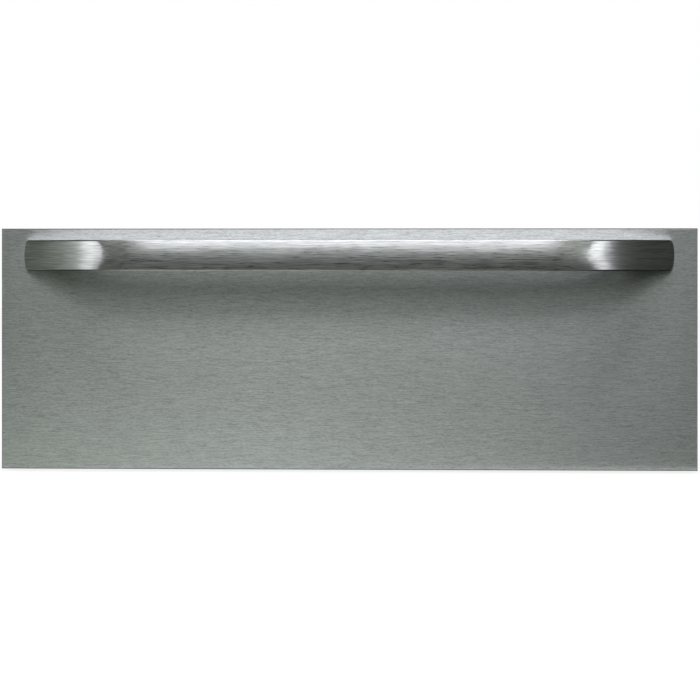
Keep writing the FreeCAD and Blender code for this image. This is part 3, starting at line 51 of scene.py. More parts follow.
# ---------------------------------------------------------------- casing sheets
# Base pan, two side panels, top and rear covers: galvanised steel sheet, sheared, punched and folded, and
# held by screws. The zinc has the flat grey crystals, or spangle, that it takes on as it sets.
def finish(name, metallic, roughness, **sockets):
    """New material: its tree and its shader. The sockets are values that are the same all over."""
    material = bpy.data.materials.new(name)
    material.use_nodes = True
    shader = material.node_tree.nodes["Principled BSDF"]
    shader.inputs["Metallic"].default_value = metallic
    shader.inputs["Roughness"].default_value = roughness
    for socket, value in sockets.items():
        shader.inputs[socket.replace("_", " ")].default_value = value
    return material, material.node_tree, shader


def own_place(tree, stretch):
    """A point's place on the piece, stretched along X, Y and Z."""
    place = tree.nodes.new("ShaderNodeTexCoord")
    mapping = tree.nodes.new("ShaderNodeMapping")
    mapping.inputs["Scale"].default_value = stretch
    tree.links.new(place.outputs["Object"], mapping.inputs["Vector"])
    return mapping.outputs["Vector"]


def grain(tree, stretch, detail=3.0, place=own_place):
    """Noise from 0 to 1, with about so many blotches to the metre along X, Y and Z."""
    texture = tree.nodes.new("ShaderNodeTexNoise")
    texture.inputs["Scale"].default_value = 1.0
    texture.inputs["Detail"].default_value = detail
    tree.links.new(place(tree, stretch), texture.inputs["Vector"])
    return texture.outputs["Fac"]


def crystals(tree, count):
    """Cells, with about so many to the metre, each with its own grey."""
    texture = tree.nodes.new("ShaderNodeTexVoronoi")
    texture.inputs["Scale"].default_value = 1.0
    tree.links.new(own_place(tree, (count, count, count)), texture.inputs["Vector"])
    return texture.outputs["Color"]


def ranged(tree, value, low, high, start=0.3, stop=0.7):
    """A value brought from one range to another."""
    node = tree.nodes.new("ShaderNodeMapRange")
    node.inputs["From Min"].default_value = start
    node.inputs["From Max"].default_value = stop
    node.inputs["To Min"].default_value = low
    node.inputs["To Max"].default_value = high
    tree.links.new(value, node.inputs["Value"])
    return node.outputs["Result"]


def between(tree, value, dark, light, start=0.3, stop=0.7):
    """A colour between two, by a value."""
    ramp = tree.nodes.new("ShaderNodeValToRGB")
    ramp.color_ramp.elements[0].position = start
    ramp.color_ramp.elements[0].color = (*dark, 1)
    ramp.color_ramp.elements[1].position = stop
    ramp.color_ramp.elements[1].color = (*light, 1)
    tree.links.new(value, ramp.inputs["Fac"])
    return ramp.outputs["Color"]


def relief(tree, shader, height, depth, strength=0.6):
    """Raised and sunk places on the surface, to a depth in metres."""
    bump = tree.nodes.new("ShaderNodeBump")
    bump.inputs["Strength"].default_value = strength
    bump.inputs["Distance"].default_value = depth
    tree.links.new(height, bump.inputs["Height"])
    tree.links.new(bump.outputs["Normal"], shader.inputs["Normal"])


def dress(material, *names):
    """Gives nodes of the frame their finish."""
    for name in names:
        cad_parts[name].material_slots[0].material = material


def tinted(tree, shader, value, dark, light, start=0.3, stop=0.7):
    """Gives a finish its colour, between two by a value."""
    tree.links.new(between(tree, value, dark, light, start, stop), shader.inputs["Base Color"])


spangle, tree, shader = finish("galvanised_sheet", metallic=1.0, roughness=0.42)
cell = crystals(tree, count=70)
tinted(tree, shader, cell, (0.40, 0.415, 0.43), (0.54, 0.555, 0.575), start=0.1, stop=0.9)
gloss = ranged(tree, cell, low=0.34, high=0.50, start=0, stop=1)
tree.links.new(gloss, shader.inputs["Roughness"])
relief(tree, shader, grain(tree, (400, 400, 400)), depth=0.00003)
dress(spangle, "base_pan", "right_side_panel", "left_side_panel", "top_cover", "rear_cover")


# ---------------------------------------------------------------- feet
# Four low feet moulded in rubber, matt black with a fine mould texture. Each is held under the base pan by a
# screw whose head is sunk in it.
def mottled(name, dark, light, metallic, roughness, size, depth=0.0, spread=0.08, **sockets):
    """Plain finish with soft blotches of one size in metres, in colour, gloss and relief."""
    material, tree, shader = finish(name, metallic, roughness, **sockets)
    blotch = grain(tree, (1 / size,) * 3)
    tinted(tree, shader, blotch, dark, light)
    gloss = ranged(tree, blotch, max(roughness - spread, 0.02), roughness + spread)
    tree.links.new(gloss, shader.inputs["Roughness"])
    if depth:
        relief(tree, shader, blotch, depth)
    return material


rubber = mottled("foot_rubber", (0.016, 0.016, 0.017), (0.030, 0.030, 0.031),
                 metallic=0.0, roughness=0.72, size=0.0012, depth=0.00004)
dress(rubber, "front_left_foot", "front_right_foot", "rear_left_foot", "rear_right_foot")


# ---------------------------------------------------------------- screws
# Screws of the casing, feet, drawer, slides, terminal block and handle: headed and threaded from steel wire,
# then zinc-plated, which leaves them bright and faintly blue.
zinc_screws = mottled("zinc_screws", (0.52, 0.54, 0.58), (0.66, 0.68, 0.72),
                      metallic=1.0, roughness=0.30, size=0.0015, depth=0.00001)
dress(zinc_screws, "case_screws", "drawer_screws", "handle_screws", "slide_wall_screws", "small_screws")


# ---------------------------------------------------------------- front frame, liner and inner front
# Thin stainless sheet with a satin, rolled finish: the frame round the opening, the oven liner, the inner
# front with its vent, and the rest for the pan. Fine straight rolling lines run one way, and the sheet is
# nearly clear of marks.
def rolled(name, colour, roughness, lines):
    """Sheet with fine rolling lines, so many to the metre along X, Y and Z, and faint clouds in its gloss."""
    marks = 0.06        # how far the lines differ from the colour, as a share of it
    brighter, duller = 0.05, 0.06
    material, tree, shader = finish(name, metallic=1.0, roughness=roughness, Anisotropic=0.45)
    line = grain(tree, lines, detail=4.0)
    tinted(tree, shader, line, tuple(c * (1 - marks) for c in colour), tuple(c * (1 + marks) for c in colour))
    cloud = grain(tree, (9, 9, 9))
    gloss = ranged(tree, cloud, roughness - brighter, roughness + duller)
    tree.links.new(gloss, shader.inputs["Roughness"])
    relief(tree, shader, line, depth=0.000008)
    return material


satin = (0.50, 0.505, 0.50)
dress(rolled("frame_stainless", satin, roughness=0.34, lines=(1400, 1400, 14)), "front_frame")
dress(rolled("liner_stainless", satin, roughness=0.32, lines=(14, 900, 1400)), "cavity_liner")
dress(rolled("inner_front_stainless", satin, roughness=0.32, lines=(12, 1400, 1400)),
      "front_inner_panel", "vent_shutter", "vent_rails", "pan_front_rest")


# ---------------------------------------------------------------- insulation
# Mineral wool batts round the liner and inside the front: pale yellow-grey fibres with uneven, slightly sunk
# faces, cut to size and pushed into place.
wool, tree, shader = finish("mineral_wool", metallic=0.0, roughness=0.95, Sheen_Weight=0.35)
fibre = grain(tree, (900, 260, 900), detail=6.0)
tuft = grain(tree, (45, 45, 45), detail=2.0)
tinted(tree, shader, tuft, (0.42, 0.38, 0.27), (0.60, 0.56, 0.43))
relief(tree, shader, fibre, depth=0.0008, strength=0.9)

felt_size = 0.005               # distance between points of a batt's mesh
felt_sink = 0.0016              # about the most that its faces sink
sink_level, sink_swing = 0.55, 0.5          # shares of it: in the mean, and to each side with the lumps
broad_lumps, small_lumps = 22, 90           # lumps to the metre
small_share = 0.6               # height of the small lumps over the broad ones'


def batt(node, body):
    """Soft slab in a node's place, with its faces sunk unevenly."""
    piece = bpy.data.objects.new(node + "_batt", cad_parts[node].data.copy())
    bpy.context.scene.collection.objects.link(piece)
    shape = bmesh.new()
    shape.from_mesh(piece.data)
    bmesh.ops.remove_doubles(shape, verts=shape.verts, dist=1e-6)
    shape.to_mesh(piece.data)
    shape.free()
    remesh = piece.modifiers.new("felted", "REMESH")
    remesh.mode = "VOXEL"
    remesh.voxel_size = felt_size
    bpy.context.view_layer.update()
    felted = bpy.data.meshes.new_from_object(piece.evaluated_get(bpy.context.evaluated_depsgraph_get()))
    piece.modifiers.clear()
    piece.data = felted
    shape = bmesh.new()
    shape.from_mesh(felted)
    shape.normal_update()
    for vert in shape.verts:
        wave = noise.noise(vert.co * broad_lumps) + small_share * noise.noise(vert.co * small_lumps)
        vert.co -= vert.normal * felt_sink * (sink_level + sink_swing * wave)
    for face in shape.faces:
        face.smooth = True
    shape.to_mesh(felted)
    shape.free()
    felted.materials.clear()
    felted.materials.append(wool)
    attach(piece, body)
    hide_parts(node)


batt("floor_insulation", "case")
batt("insulation_wrap", "case")
batt("rear_insulation", "case")
batt("front_insulation", "drawer")


# ---------------------------------------------------------------- drawer seal
# Flat ring with a raised lip, moulded in dark grey silicone with a dull sheen, and pressed into place round
# the drawer's opening.
silicone = mottled("seal_silicone", (0.045, 0.045, 0.048), (0.065, 0.065, 0.068),
                   metallic=0.0, roughness=0.50, size=0.004, depth=0.00002, Specular_IOR_Level=0.4)
dress(silicone, "drawer_seal")


# ---------------------------------------------------------------- telescopic slides
# Full-extension ball slides: rolled steel members with bright zinc plating, thin stamped cages and hard steel
# balls, faintly streaked along their length by the rolls.
slide_zinc, tree, shader = finish("slide_zinc", metallic=1.0, roughness=0.28, Anisotropic=0.4)
streak = grain(tree, (600, 8, 600))
tinted(tree, shader, streak, (0.50, 0.52, 0.55), (0.64, 0.66, 0.69))
relief(tree, shader, streak, depth=0.000006)
cage_steel = mottled("ball_cage_steel", (0.38, 0.38, 0.39), (0.50, 0.50, 0.51),
                     metallic=1.0, roughness=0.24, size=0.006)
for hand in ("left", "right"):
    dress(slide_zinc, *(f"{hand}_slide_{part}_member" for part in ("outer", "middle", "inner")))
    dress(cage_steel, *(f"{hand}_slide_{part}_ball_cage" for part in ("outer", "inner")))


# ---------------------------------------------------------------- heating element
# Steel-sheathed tube under the pan, darkened and tinted by heat, on small spring-steel clips. It passes the
# back wall in glazed ceramic bushes, above a bright rolled aluminium reflector.
sheath, tree, shader = finish("element_sheath", metallic=0.75, roughness=0.48)
heat_tint = grain(tree, (26, 26, 26), detail=4.0)
tinted(tree, shader, heat_tint, (0.055, 0.045, 0.040), (0.16, 0.125, 0.10))
relief(tree, shader, grain(tree, (900, 900, 900)), depth=0.00002)
dress(sheath, "heating_element")
spring_steel = mottled("spring_steel", (0.26, 0.26, 0.27), (0.38, 0.38, 0.40),
                       metallic=1.0, roughness=0.32, size=0.004)
dress(spring_steel, "cavity_clips")
ceramic = mottled("glazed_ceramic", (0.70, 0.66, 0.58), (0.78, 0.75, 0.68),
                  metallic=0.0, roughness=0.28, size=0.006, depth=0.00002)
dress(ceramic, "element_bushes")
aluminium = rolled("reflector_aluminium", (0.74, 0.745, 0.75), roughness=0.22, lines=(900, 12, 900))
dress(aluminium, "heat_reflector")


# ---------------------------------------------------------------- thermostat, limiter and sensor
# Capillary thermostat with a plated case and a steel spindle, a black phenolic snap-disc limiter on the
# liner's roof, and a copper bulb and capillary that carry the cavity's heat to the thermostat.
plated = mottled("zinc_plate", (0.50, 0.51, 0.53), (0.64, 0.65, 0.68),
                 metallic=1.0, roughness=0.34, size=0.010, depth=0.00001)
dress(plated, "thermostat_body", "thermostat_spindle")
phenolic = mottled("phenolic_moulding", (0.014, 0.013, 0.012), (0.024, 0.022, 0.020),
                   metallic=0.0, roughness=0.42, size=0.003, depth=0.00001)
dress(phenolic, "thermal_limiter")
copper = mottled("copper_capillary", (0.60, 0.25, 0.14), (0.78, 0.38, 0.24),
                 metallic=1.0, roughness=0.30, size=0.012)
dress(copper, "temperature_sensor")


# ---------------------------------------------------------------- drawer sides and rear rail
# Zinc-plated steel sheet, folded: a side plate on each slide, with flanges for the front and for the pan's
# rim, and the rail that ties the two at the back. The rolling lines run along each.
dull_zinc = (0.55, 0.56, 0.58)
dress(rolled("bracket_zinc", dull_zinc, roughness=0.33, lines=(900, 12, 900)),
      "left_drawer_bracket", "right_drawer_bracket")
dress(rolled("rail_zinc", dull_zinc, roughness=0.33, lines=(12, 900, 900)), "rear_cross_rail")


# ---------------------------------------------------------------- controls
# Black enamelled fascia on the frame above the opening, its scale and words printed in a thin film of pale
# ink. Through it come a moulded knob with a painted pointer, a rocker switch, and an amber lens over a lamp
# with a phenolic body.
enamel = mottled("fascia_enamel", (0.014, 0.014, 0.015), (0.020, 0.020, 0.021),
                 metallic=0.0, roughness=0.26, size=0.0008, depth=0.000006)
dress(enamel, "control_fascia")
moulded = mottled("black_moulding", (0.018, 0.018, 0.019), (0.028, 0.028, 0.029),
                  metallic=0.0, roughness=0.38, size=0.0009, depth=0.00001)
dress(moulded, "thermostat_knob", "power_switch_body")
rocker_gloss = mottled("rocker_moulding", (0.020, 0.020, 0.021), (0.028, 0.028, 0.029),
                       metallic=0.0, roughness=0.20, size=0.004)
dress(rocker_gloss, "power_rocker")
amber = mottled("amber_lens", (0.80, 0.27, 0.02), (0.90, 0.36, 0.04), metallic=0.0, roughness=0.12,
                size=0.003, depth=0.00001, Transmission_Weight=0.35, Coat_Weight=0.3)
dress(amber, "pilot_lens")
dress(phenolic, "pilot_lamp_body")
ink = mottled("print_ink", (0.70, 0.70, 0.69), (0.78, 0.78, 0.77), metallic=0.0, roughness=0.55, size=0.0006)

ink_film = 0.00008
capital_share = 0.7             # height of a capital over the size of its type
mark_count, mark_turn = 19, 15              # marks of the scale, and degrees from each to the next
long_mark, short_mark = (0.0005, 0.0012), (0.0003, 0.0008)      # width and length
mark_reach = 0.0131             # knob's axis to the marks' inner ends
number_across, number_up = 0.0178, 0.0164       # knob's axis to the middle of a number
number_height, legend_height = 0.0024, 0.0028
legend_reach = 0.019            # middle of the switch to the middle of a word
pointer_size = (0.0010, 0.0003, 0.0058)
pointer_depth = 0.00045         # middle of the pointer behind the knob's foremost rim
pointer_up = 0.0061             # middle of the pointer above the knob's axis
pointer_edge = 0.00005

fascia_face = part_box("control_fascia")[0].y
print_y = fascia_face - ink_film / 4        # a quarter of the film is in the enamel
knob_low, knob_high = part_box("thermostat_knob")
knob_middle = (knob_low + knob_high) / 2
switch_low, switch_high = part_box("power_switch_body")
switch_middle = (switch_low + switch_high) / 2


def ink_piece(name, shape, body):
    """Keeps a thin printed or painted piece."""
    bmesh.ops.recalc_face_normals(shape, faces=shape.faces)
    mesh = bpy.data.meshes.new(name)
    shape.to_mesh(mesh)
    shape.free()
    mesh.materials.append(ink)
    piece = bpy.data.objects.new(name, mesh)
    bpy.context.scene.collection.objects.link(piece)
    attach(piece, body)


def words_on(shape, text, x, z, height):
    """Adds a short line of type to a shape, centred on a point of the fascia."""
    curve = bpy.data.curves.new(text, "FONT")
    curve.body = text
    curve.size = height / capital_share
    curve.align_x = "CENTER"
    curve.align_y = "CENTER"
    curve.extrude = ink_film / 2
    curve.resolution_u = 3
    holder = bpy.data.objects.new(text, curve)
    bpy.context.scene.collection.objects.link(holder)
    bpy.context.view_layer.update()
    mesh = bpy.data.meshes.new_from_object(holder.evaluated_get(bpy.context.evaluated_depsgraph_get()))
    bpy.data.objects.remove(holder)
    mesh.transform(Matrix.Translation((x, print_y, z)) @ Matrix.Rotation(math.pi / 2, 4, "X"))
    shape.from_mesh(mesh)


scale = bmesh.new()
for step in range(mark_count):
    width, length = short_mark if step % 3 else long_mark
    turn = Matrix.Rotation(math.radians(step * mark_turn), 4, "Y")
    bmesh.ops.create_cube(scale, size=1.0, matrix=Matrix.Translation((knob_middle.x, print_y, knob_middle.z))
                          @ turn @ Matrix.Translation((0, 0, mark_reach + length / 2))
                          @ Matrix.Diagonal((width, ink_film, length, 1)))
for degrees, text in ((45, "30"), (90, "45"), (135, "60"), (225, "80"), (270, "90")):
    angle = math.radians(degrees)
    words_on(scale, text, knob_middle.x + number_across * math.sin(angle),
             knob_middle.z + number_up * math.cos(angle), number_height)
ink_piece("thermostat_scale", scale, "case")

legends = bmesh.new()
for text, side in (("OFF", -1), ("ON", 1)):
    words_on(legends, text, switch_middle.x + side * legend_reach, switch_middle.z, legend_height)
ink_piece("switch_legends", legends, "case")

pointer = bmesh.new()
pointer_middle = (knob_middle.x, knob_low.y + pointer_depth, knob_middle.z + pointer_up)
bmesh.ops.create_cube(pointer, size=1.0,
                      matrix=Matrix.Translation(pointer_middle) @ Matrix.Diagonal((*pointer_size, 1)))
bmesh.ops.bevel(pointer, geom=pointer.edges[:], offset=pointer_edge, affect="EDGES", segments=1, profile=0.5,
                material=-1)
ink_piece("knob_pointer", pointer, "thermostat_control")


# ---------------------------------------------------------------- wiring
# White nylon terminal block and black cable gland on the rear cover, and the loom from the block to each
# electrical part: copper leads in woven glass sleeves, pale, with a fine cross weave.
nylon = mottled("terminal_nylon", (0.72, 0.72, 0.69), (0.80, 0.80, 0.77),
                metallic=0.0, roughness=0.45, size=0.003, depth=0.00001)
dress(nylon, "terminal_block")
dress(moulded, "cable_gland")
sleeve, tree, shader = finish("glass_sleeve", metallic=0.0, roughness=0.70, Sheen_Weight=0.2)
weave = grain(tree, (900, 900, 900), detail=1.0)
tinted(tree, shader, weave, (0.50, 0.49, 0.45), (0.76, 0.75, 0.70))
relief(tree, shader, weave, depth=0.00012, strength=0.9)
dress(sleeve, "wiring_loom")


# ---------------------------------------------------------------- outer front
# Stainless sheet folded back on all four sides and brushed from side to side with a belt. Its colour is
# darkened on a thin band along its edges, a painted shade of the folds. The straight scratches spread light
# up and down and hardly sideways.
def put(tree, socket, term):
    """Gives a socket a number, a colour or the result of another node."""
    if isinstance(term, bpy.types.NodeSocket):
        tree.links.new(term, socket)
    else:
        socket.default_value = term


def sum_of(tree, operation, first, second=0.0):
    """A sum with two terms, each a result of the tree or a number."""
    node = tree.nodes.new("ShaderNodeMath")
    node.operation = operation
    put(tree, node.inputs[0], first)
    put(tree, node.inputs[1], second)
    return node.outputs["Value"]


def mixed(tree, first, second, share, multiply=False):
    """A number between two, by the second's share, or to that share a colour multiplied by a second one."""
    node = tree.nodes.new("ShaderNodeMix")
    if multiply:
        node.data_type = "RGBA"
        node.blend_type = "MULTIPLY"
    put(tree, node.inputs["Factor"], share)
    put(tree, node.inputs["A"], first)
    put(tree, node.inputs["B"], second)
    return node.outputs["Result"]


def brushed(name, colour, roughness, gloss_spread, anisotropy, streaks, clouds, size, place=own_place):
    """Stainless brushed along X: scratches of two lengths in colour, gloss and relief, and faint clouds.

    The spread is how far the scratches' gloss differs from the rest, streaks and clouds are how far their
    colour does, as a share of it, and size is scratches to the metre along X, Y and Z.
    """
    long_share = 0.45               # part that the long scratches have in the whole
    long_size = (size[0] / 4, size[1], size[2] * 0.77)          # four times as long, and a little broader
    material, tree, shader = finish(name, metallic=1.0, roughness=roughness, Anisotropic=anisotropy,
                                    Anisotropic_Rotation=0.25)
    way = tree.nodes.new("ShaderNodeCombineXYZ")
    way.inputs["X"].default_value = 1.0
    tree.links.new(way.outputs["Vector"], shader.inputs["Tangent"])
    scratch = mixed(tree, grain(tree, size, place=place), grain(tree, long_size, place=place), long_share)
    tone = between(tree, scratch, tuple(c * (1 - streaks) for c in colour),
                   tuple(c * (1 + streaks) for c in colour), start=0.32, stop=0.68)
    cloud = grain(tree, (2.2, 2.2, 3.0), detail=1.0)
    shadow = between(tree, cloud, (1 - clouds,) * 3, (1, 1, 1))
    tree.links.new(mixed(tree, tone, shadow, 1.0, multiply=True), shader.inputs["Base Color"])
    gloss = ranged(tree, scratch, roughness - gloss_spread, roughness + gloss_spread, start=0.4, stop=0.6)
    tree.links.new(gloss, shader.inputs["Roughness"])
    relief(tree, shader, scratch, depth=0.000010, strength=0.5)
    return material


def axes_of(tree):
    """A point's X, Y and Z on the piece."""
    axes = tree.nodes.new("ShaderNodeSeparateXYZ")
    tree.links.new(own_place(tree, (1, 1, 1)), axes.inputs["Vector"])
    return axes.outputs


def off_middle(tree, axis, middle):
    """A point's distance from a middle plane across one axis."""
    return sum_of(tree, "ABSOLUTE", sum_of(tree, "SUBTRACT", axes_of(tree)[axis], middle))


def edge_band(tree, axis, low, high, width):
    """1 on a thin band inside both ends of a piece, and 0 on its middle and on its flat end faces."""
    end_gap, inner_blur, outer_blur = 0.00005, 0.0003, 0.00003
    middle, half = (low + high) / 2, (high - low) / 2
    start, stop = half - width, half - end_gap
    distance = off_middle(tree, axis, middle)
    return sum_of(tree, "MULTIPLY", ranged(tree, distance, 0, 1, start, start + inner_blur),
                  ranged(tree, distance, 1, 0, stop - outer_blur, stop))


def shade_edge(material, band, share):
    """Darkens a finish's colour on a band, to a share of what it was, as painted shade."""
    tree = material.node_tree
    colour = tree.nodes["Principled BSDF"].inputs["Base Color"]
    tree.links.new(mixed(tree, colour.links[0].from_socket, (share, share, share, 1), band, multiply=True),
                   colour)


front_steel = brushed("brushed_front", (0.382, 0.411, 0.386), roughness=0.45, gloss_spread=0.02,
                      anisotropy=0.95, streaks=0.36, clouds=0.03, size=(330, 900, 2200))
# painted shade: the front's colour darkened on a thin band along each edge
edge_shade_width, edge_shade_share = 0.0011, 0.25
skin_low, skin_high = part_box("front_skin")
for axis, low, high in (("X", skin_low.x, skin_high.x), ("Z", skin_low.z, skin_high.z)):
    shade_edge(front_steel, edge_band(front_steel.node_tree, axis, low, high, edge_shade_width), edge_shade_share)
dress(front_steel, "front_skin")


# ---------------------------------------------------------------- handle
# Solid stainless bar, bent back at both ends, milled flat on its legs, crowned along the bar and brushed.
# The scratches follow the bends and fade on the legs, whose rims are darkened in the colour as painted shade.
# Two screws from inside the front hold it, through zinc-plated backing plates.
bend_start = 0.255              # middle of the bar to where each leg begins to bend back
bend_slope, bend_rise = 0.30, 1.85      # at a way along from there, it is slope * way + rise * way ** 2 back


def straightened(tree, stretch):
    """A point's place on the bar as if its legs weren't bent back, so that the scratches follow them."""
    axes = axes_of(tree)
    along = sum_of(tree, "MAXIMUM", sum_of(tree, "SUBTRACT", off_middle(tree, "X", 0.0), bend_start), 0.0)
    slope = sum_of(tree, "ADD", sum_of(tree, "MULTIPLY", along, bend_rise), bend_slope)
    back = sum_of(tree, "SUBTRACT", axes["Y"], sum_of(tree, "MULTIPLY", along, slope))
    place = tree.nodes.new("ShaderNodeCombineXYZ")
    for axis, value, times in zip("XYZ", (axes["X"], back, axes["Z"]), stretch):
        tree.links.new(sum_of(tree, "MULTIPLY", value, times), place.inputs[axis])
    return place.outputs["Vector"]


bar_roughness = 0.305
bar_steel = brushed("brushed_handle", (0.49, 0.509, 0.493), roughness=bar_roughness, gloss_spread=0.035,
                    anisotropy=0.85, streaks=0.42, clouds=0.02, size=(65, 700, 1500), place=straightened)
leg_start, leg_stop = 0.235, 0.290          # from the middle: where the bar's finish turns into the legs'
leg_calm = 0.75                 # share of the scratches' gloss that fades on the legs
# painted shade: the legs' top and bottom rims darkened in the colour
rim_shade_width, rim_shade_share = 0.0014, 0.08
bar_low, bar_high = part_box("handle")
tree = bar_steel.node_tree
legs = ranged(tree, off_middle(tree, "X", 0.0), 0, 1, leg_start, leg_stop)
gloss = tree.nodes["Principled BSDF"].inputs["Roughness"]
calm = sum_of(tree, "MULTIPLY", legs, leg_calm)
tree.links.new(mixed(tree, gloss.links[0].from_socket, bar_roughness, calm), gloss)
rim_shade_band = edge_band(tree, "Z", bar_low.z, bar_high.z, rim_shade_width)
shade_edge(bar_steel, sum_of(tree, "MULTIPLY", rim_shade_band, legs), rim_shade_share)
dress(bar_steel, "handle")
dress(plated, "handle_backing_plates")


# ---------------------------------------------------------------- warming pan and rack
# Deep-drawn stainless pan, satin inside and out, whose rim lies on the drawer's sides, and a loose rack in
# it: steel wires bent and welded, then chromed.
dress(rolled("pan_stainless", (0.53, 0.535, 0.53), roughness=0.34, lines=(700, 700, 30)), "warming_pan")
chrome = mottled("chromed_wire", (0.66, 0.67, 0.68), (0.74, 0.75, 0.76),
                 metallic=1.0, roughness=0.12, size=0.01, spread=0.03)
dress(chrome, "wire_rack")


# ---------------------------------------------------------------- studio
# Pale floor and world, soft lamps above and at the sides, and a camera a little to the right of the middle.
# Grey cards that only reflections show give the steel something plain to mirror. One more sheet lies over the
# bar and its gap and glows, seen only in reflections from above: a painted reflection that stands in for the
# light that the bar's top throws on the front.
def camera_ray_share(tree):
    """1 for rays from the camera and for those that a mirror or a clear piece sends on, and 0 for light."""
    path = tree.nodes.new("ShaderNodeLightPath")
    clear = sum_of(tree, "MAXIMUM", path.outputs["Is Glossy Ray"], path.outputs["Is Transmission Ray"])
    return sum_of(tree, "MAXIMUM", path.outputs["Is Camera Ray"], clear)


sky_light, sky_seen = 0.50, 1.0             # strength that lights the pieces, and that the camera sees
world = bpy.data.worlds.new("studio")
bpy.context.scene.world = world
world.use_nodes = True
tree = world.node_tree
sky = tree.nodes["Background"]
sky.inputs["Color"].default_value = (1, 1, 1, 1)
strength = ranged(tree, camera_ray_share(tree), sky_light, sky_seen, start=0, stop=1)
tree.links.new(strength, sky.inputs["Strength"])


def stage_sheet(name, x0, x1, y0, y1, z):
    """Flat sheet of the studio."""
    shape = bmesh.new()
    bmesh.ops.create_grid(shape, x_segments=1, y_segments=1, size=0.5,
                          matrix=Matrix.Translation(((x0 + x1) / 2, (y0 + y1) / 2, z))
                          @ Matrix.Diagonal((x1 - x0, y1 - y0, 1, 1)))
    mesh = bpy.data.meshes.new(name)
    shape.to_mesh(mesh)
    shape.free()
    sheet = bpy.data.objects.new(name, mesh)
    bpy.context.scene.collection.objects.link(sheet)
    return sheet


floor_glow = 0.78               # what the camera sees of the floor besides the light on it
floor_half = 8
floor = stage_sheet("floor", -floor_half, floor_half, -floor_half, floor_half, 0.0)
floor_paint, tree, shader = finish("floor_paint", metallic=0.0, roughness=0.9, Specular_IOR_Level=0.0)
shader.inputs["Base Color"].default_value = (0.30, 0.30, 0.30, 1)
shader.inputs["Emission Color"].default_value = (1, 1, 1, 1)
glow = ranged(tree, camera_ray_share(tree), 0, floor_glow, start=0, stop=1)
tree.links.new(glow, shader.inputs["Emission Strength"])
floor.data.materials.append(floor_paint)


def reflected_only(sheet, colour):
    """Black paint that glows in one colour, on a sheet that only reflections show."""
    paint, tree, shader = finish(sheet.name, metallic=0.0, roughness=1.0, Specular_IOR_Level=0.0)
    shader.inputs["Base Color"].default_value = (0, 0, 0, 1)
    shader.inputs["Emission Color"].default_value = (*colour, 1)
    sheet.data.materials.append(paint)
    sheet.visible_camera = False
    sheet.visible_diffuse = False
    sheet.visible_shadow = False
    sheet.visible_transmission = False
    return tree, shader.inputs["Emission Strength"], shader.inputs["Alpha"]


card_colour = (0.94, 1.0, 0.90)
card_rise = 0.004               # cards on the floor, above it
room, room_height = 5, 7        # from the middle to the cards at the sides and ahead, and to the one overhead


def card(name, place, edges, glow, axis="X", span=(-room, room)):
    """Grey card from its place and its edges there. Its glow runs from one level to another over a span."""
    sheet = stage_sheet(name, *edges, 0.0)
    sheet.data.transform(place)
    tree, strength, _ = reflected_only(sheet, card_colour)
    tree.links.new(ranged(tree, axes_of(tree)[axis], *glow, *span), strength)


flat = Matrix.Translation((0, 0, card_rise))
above = Matrix.Translation((0, 0, room_height))
ahead = Matrix.Translation((0, -room, 0)) @ Matrix.Rotation(math.pi / 2, 4, "X")
left = Matrix.Translation((-room, 0, 0)) @ Matrix.Rotation(-math.pi / 2, 4, "Y")
right = Matrix.Translation((room, 0, 0)) @ Matrix.Rotation(-math.pi / 2, 4, "Y")
card("floor_card", flat, (-room, room, -room, -0.47), glow=(0.045, 0.045))
card("apron_card", flat, (-room, room, -0.47, -0.29), glow=(0.87, 0.05), span=(-0.10, 0.30))
card("wall_card", ahead, (-room, room, 0, room_height), glow=(0.22, 0.42), span=(0.7, 1.6))
card("ceiling_card", above, (-room, room, -room, 0.5), glow=(0.10, 0.10))
card("left_card", left, (0, room, -room, 0.5), glow=(0.95, 0.03), axis="Y", span=(-4.1, -1.6))
card("right_card", right, (0, room, -room, 0.5), glow=(0.05, 0.03), axis="Y", span=(-room, 0))

# painted reflection: a sheet over the bar that glows, seen only in reflections, so the front shows a bright
# band above the bar
glare_half, glare_cuts = 0.350, 41
glare_rise = 0.0004             # sheet above the bar's top
glare_inset = 0.004             # sheet's front edge behind the bar's foremost line
glare_gap = 0.0002              # sheet's back edge ahead of the front
glare_near, glare_far = 2.6, 4.55           # glow by the front and by the bar
glare_span = (0.005, 0.045)                 # where it is so, from the front's face
glare = stage_sheet("painted_glare_sheet", -glare_half, glare_half, -1, 0, bar_high.z + glare_rise)
shape = bmesh.new()
shape.from_mesh(glare.data)
crosswise = [edge for edge in shape.edges if edge.verts[0].co.x != edge.verts[1].co.x]
bmesh.ops.subdivide_edges(shape, edges=crosswise, cuts=glare_cuts, use_grid_fill=True)
for vert in shape.verts:        # the sheet is a metre deep until its two long edges go to their places
    way = max(abs(vert.co.x) - bend_start, 0.0)
    behind_bar = bar_low.y + glare_inset + bend_slope * way + bend_rise * way ** 2
    vert.co.y = skin_low.y - glare_gap if vert.co.y > -0.5 else behind_bar
shape.to_mesh(glare.data)
shape.free()
tree, strength, alpha = reflected_only(glare, (0.93, 0.885, 1.0))
side = tree.nodes.new("ShaderNodeNewGeometry")
tree.links.new(ranged(tree, side.outputs["Backfacing"], 1, 0, start=0, stop=1), alpha)
tree.links.new(ranged(tree, off_middle(tree, "Y", skin_low.y), glare_near, glare_far, *glare_span), strength)

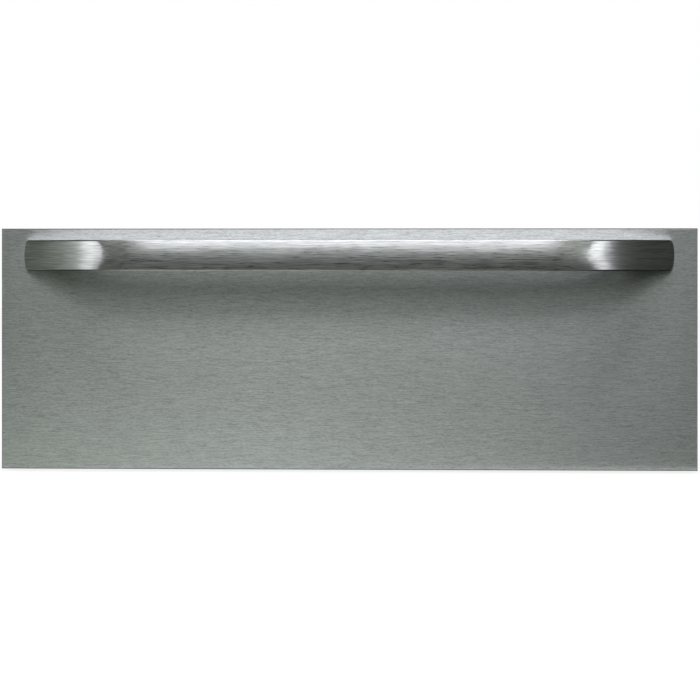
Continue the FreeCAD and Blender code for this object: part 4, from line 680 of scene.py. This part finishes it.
lamp_colour = (0.95, 0.926, 1.0)
aim = Vector((0, -0.31, 0.20))          # just ahead of the front, under the handle


def softbox(name, azimuth, elevation, distance, width, height, radiance):
    """Soft lamp that faces the front's upper part. An azimuth of 0 is ahead, and positive is to the right."""
    lamp = bpy.data.lights.new(name, "AREA")
    lamp.shape = "RECTANGLE"
    lamp.size = width
    lamp.size_y = height
    lamp.energy = radiance * math.pi * width * height
    lamp.color = lamp_colour
    holder = bpy.data.objects.new(name, lamp)
    bpy.context.scene.collection.objects.link(holder)
    a, e = math.radians(azimuth), math.radians(elevation)
    way = Vector((math.sin(a) * math.cos(e), -math.cos(a) * math.cos(e), math.sin(e)))
    holder.location = aim + way * distance
    holder.rotation_mode = "QUATERNION"
    holder.rotation_quaternion = way.to_track_quat("Z", "Y")


softbox("top_lamp", azimuth=-3, elevation=50, distance=3.0, width=1.6, height=1.0, radiance=4.79)
softbox("fill_lamp", azimuth=-3, elevation=30, distance=3.0, width=1.6, height=0.8, radiance=1.66)
softbox("overhead_lamp", azimuth=-2, elevation=76, distance=2.4, width=1.4, height=0.5, radiance=6.45)
softbox("left_lamp", azimuth=-46.5, elevation=5, distance=3.2, width=1.44, height=1.8, radiance=2.40)
softbox("right_lamp", azimuth=38.5, elevation=5, distance=3.2, width=1.5, height=1.8, radiance=3.22)

camera_distance = 2.5           # from the front's face
camera_turn = math.radians(2.317)
camera_height = 0.2315
focal_share = 2303.5 / 700      # focal length over the width of the frame
view_x, view_y = 347.6 / 700, 259.3 / 700       # where the line of sight meets the frame, from its top left

camera = bpy.data.cameras.new("camera")
camera.sensor_width = 36
camera.lens = focal_share * camera.sensor_width
camera.shift_x = 0.5 - view_x
camera.shift_y = view_y - 0.5
camera.clip_end = 100
holder = bpy.data.objects.new("camera", camera)
bpy.context.scene.collection.objects.link(holder)
holder.location = (camera_distance * math.sin(camera_turn),
                   skin_low.y - camera_distance * math.cos(camera_turn), camera_height)
holder.rotation_euler = (math.pi / 2, 0, camera_turn)
bpy.context.scene.camera = holder
bpy.context.scene.view_settings.view_transform = "Standard"
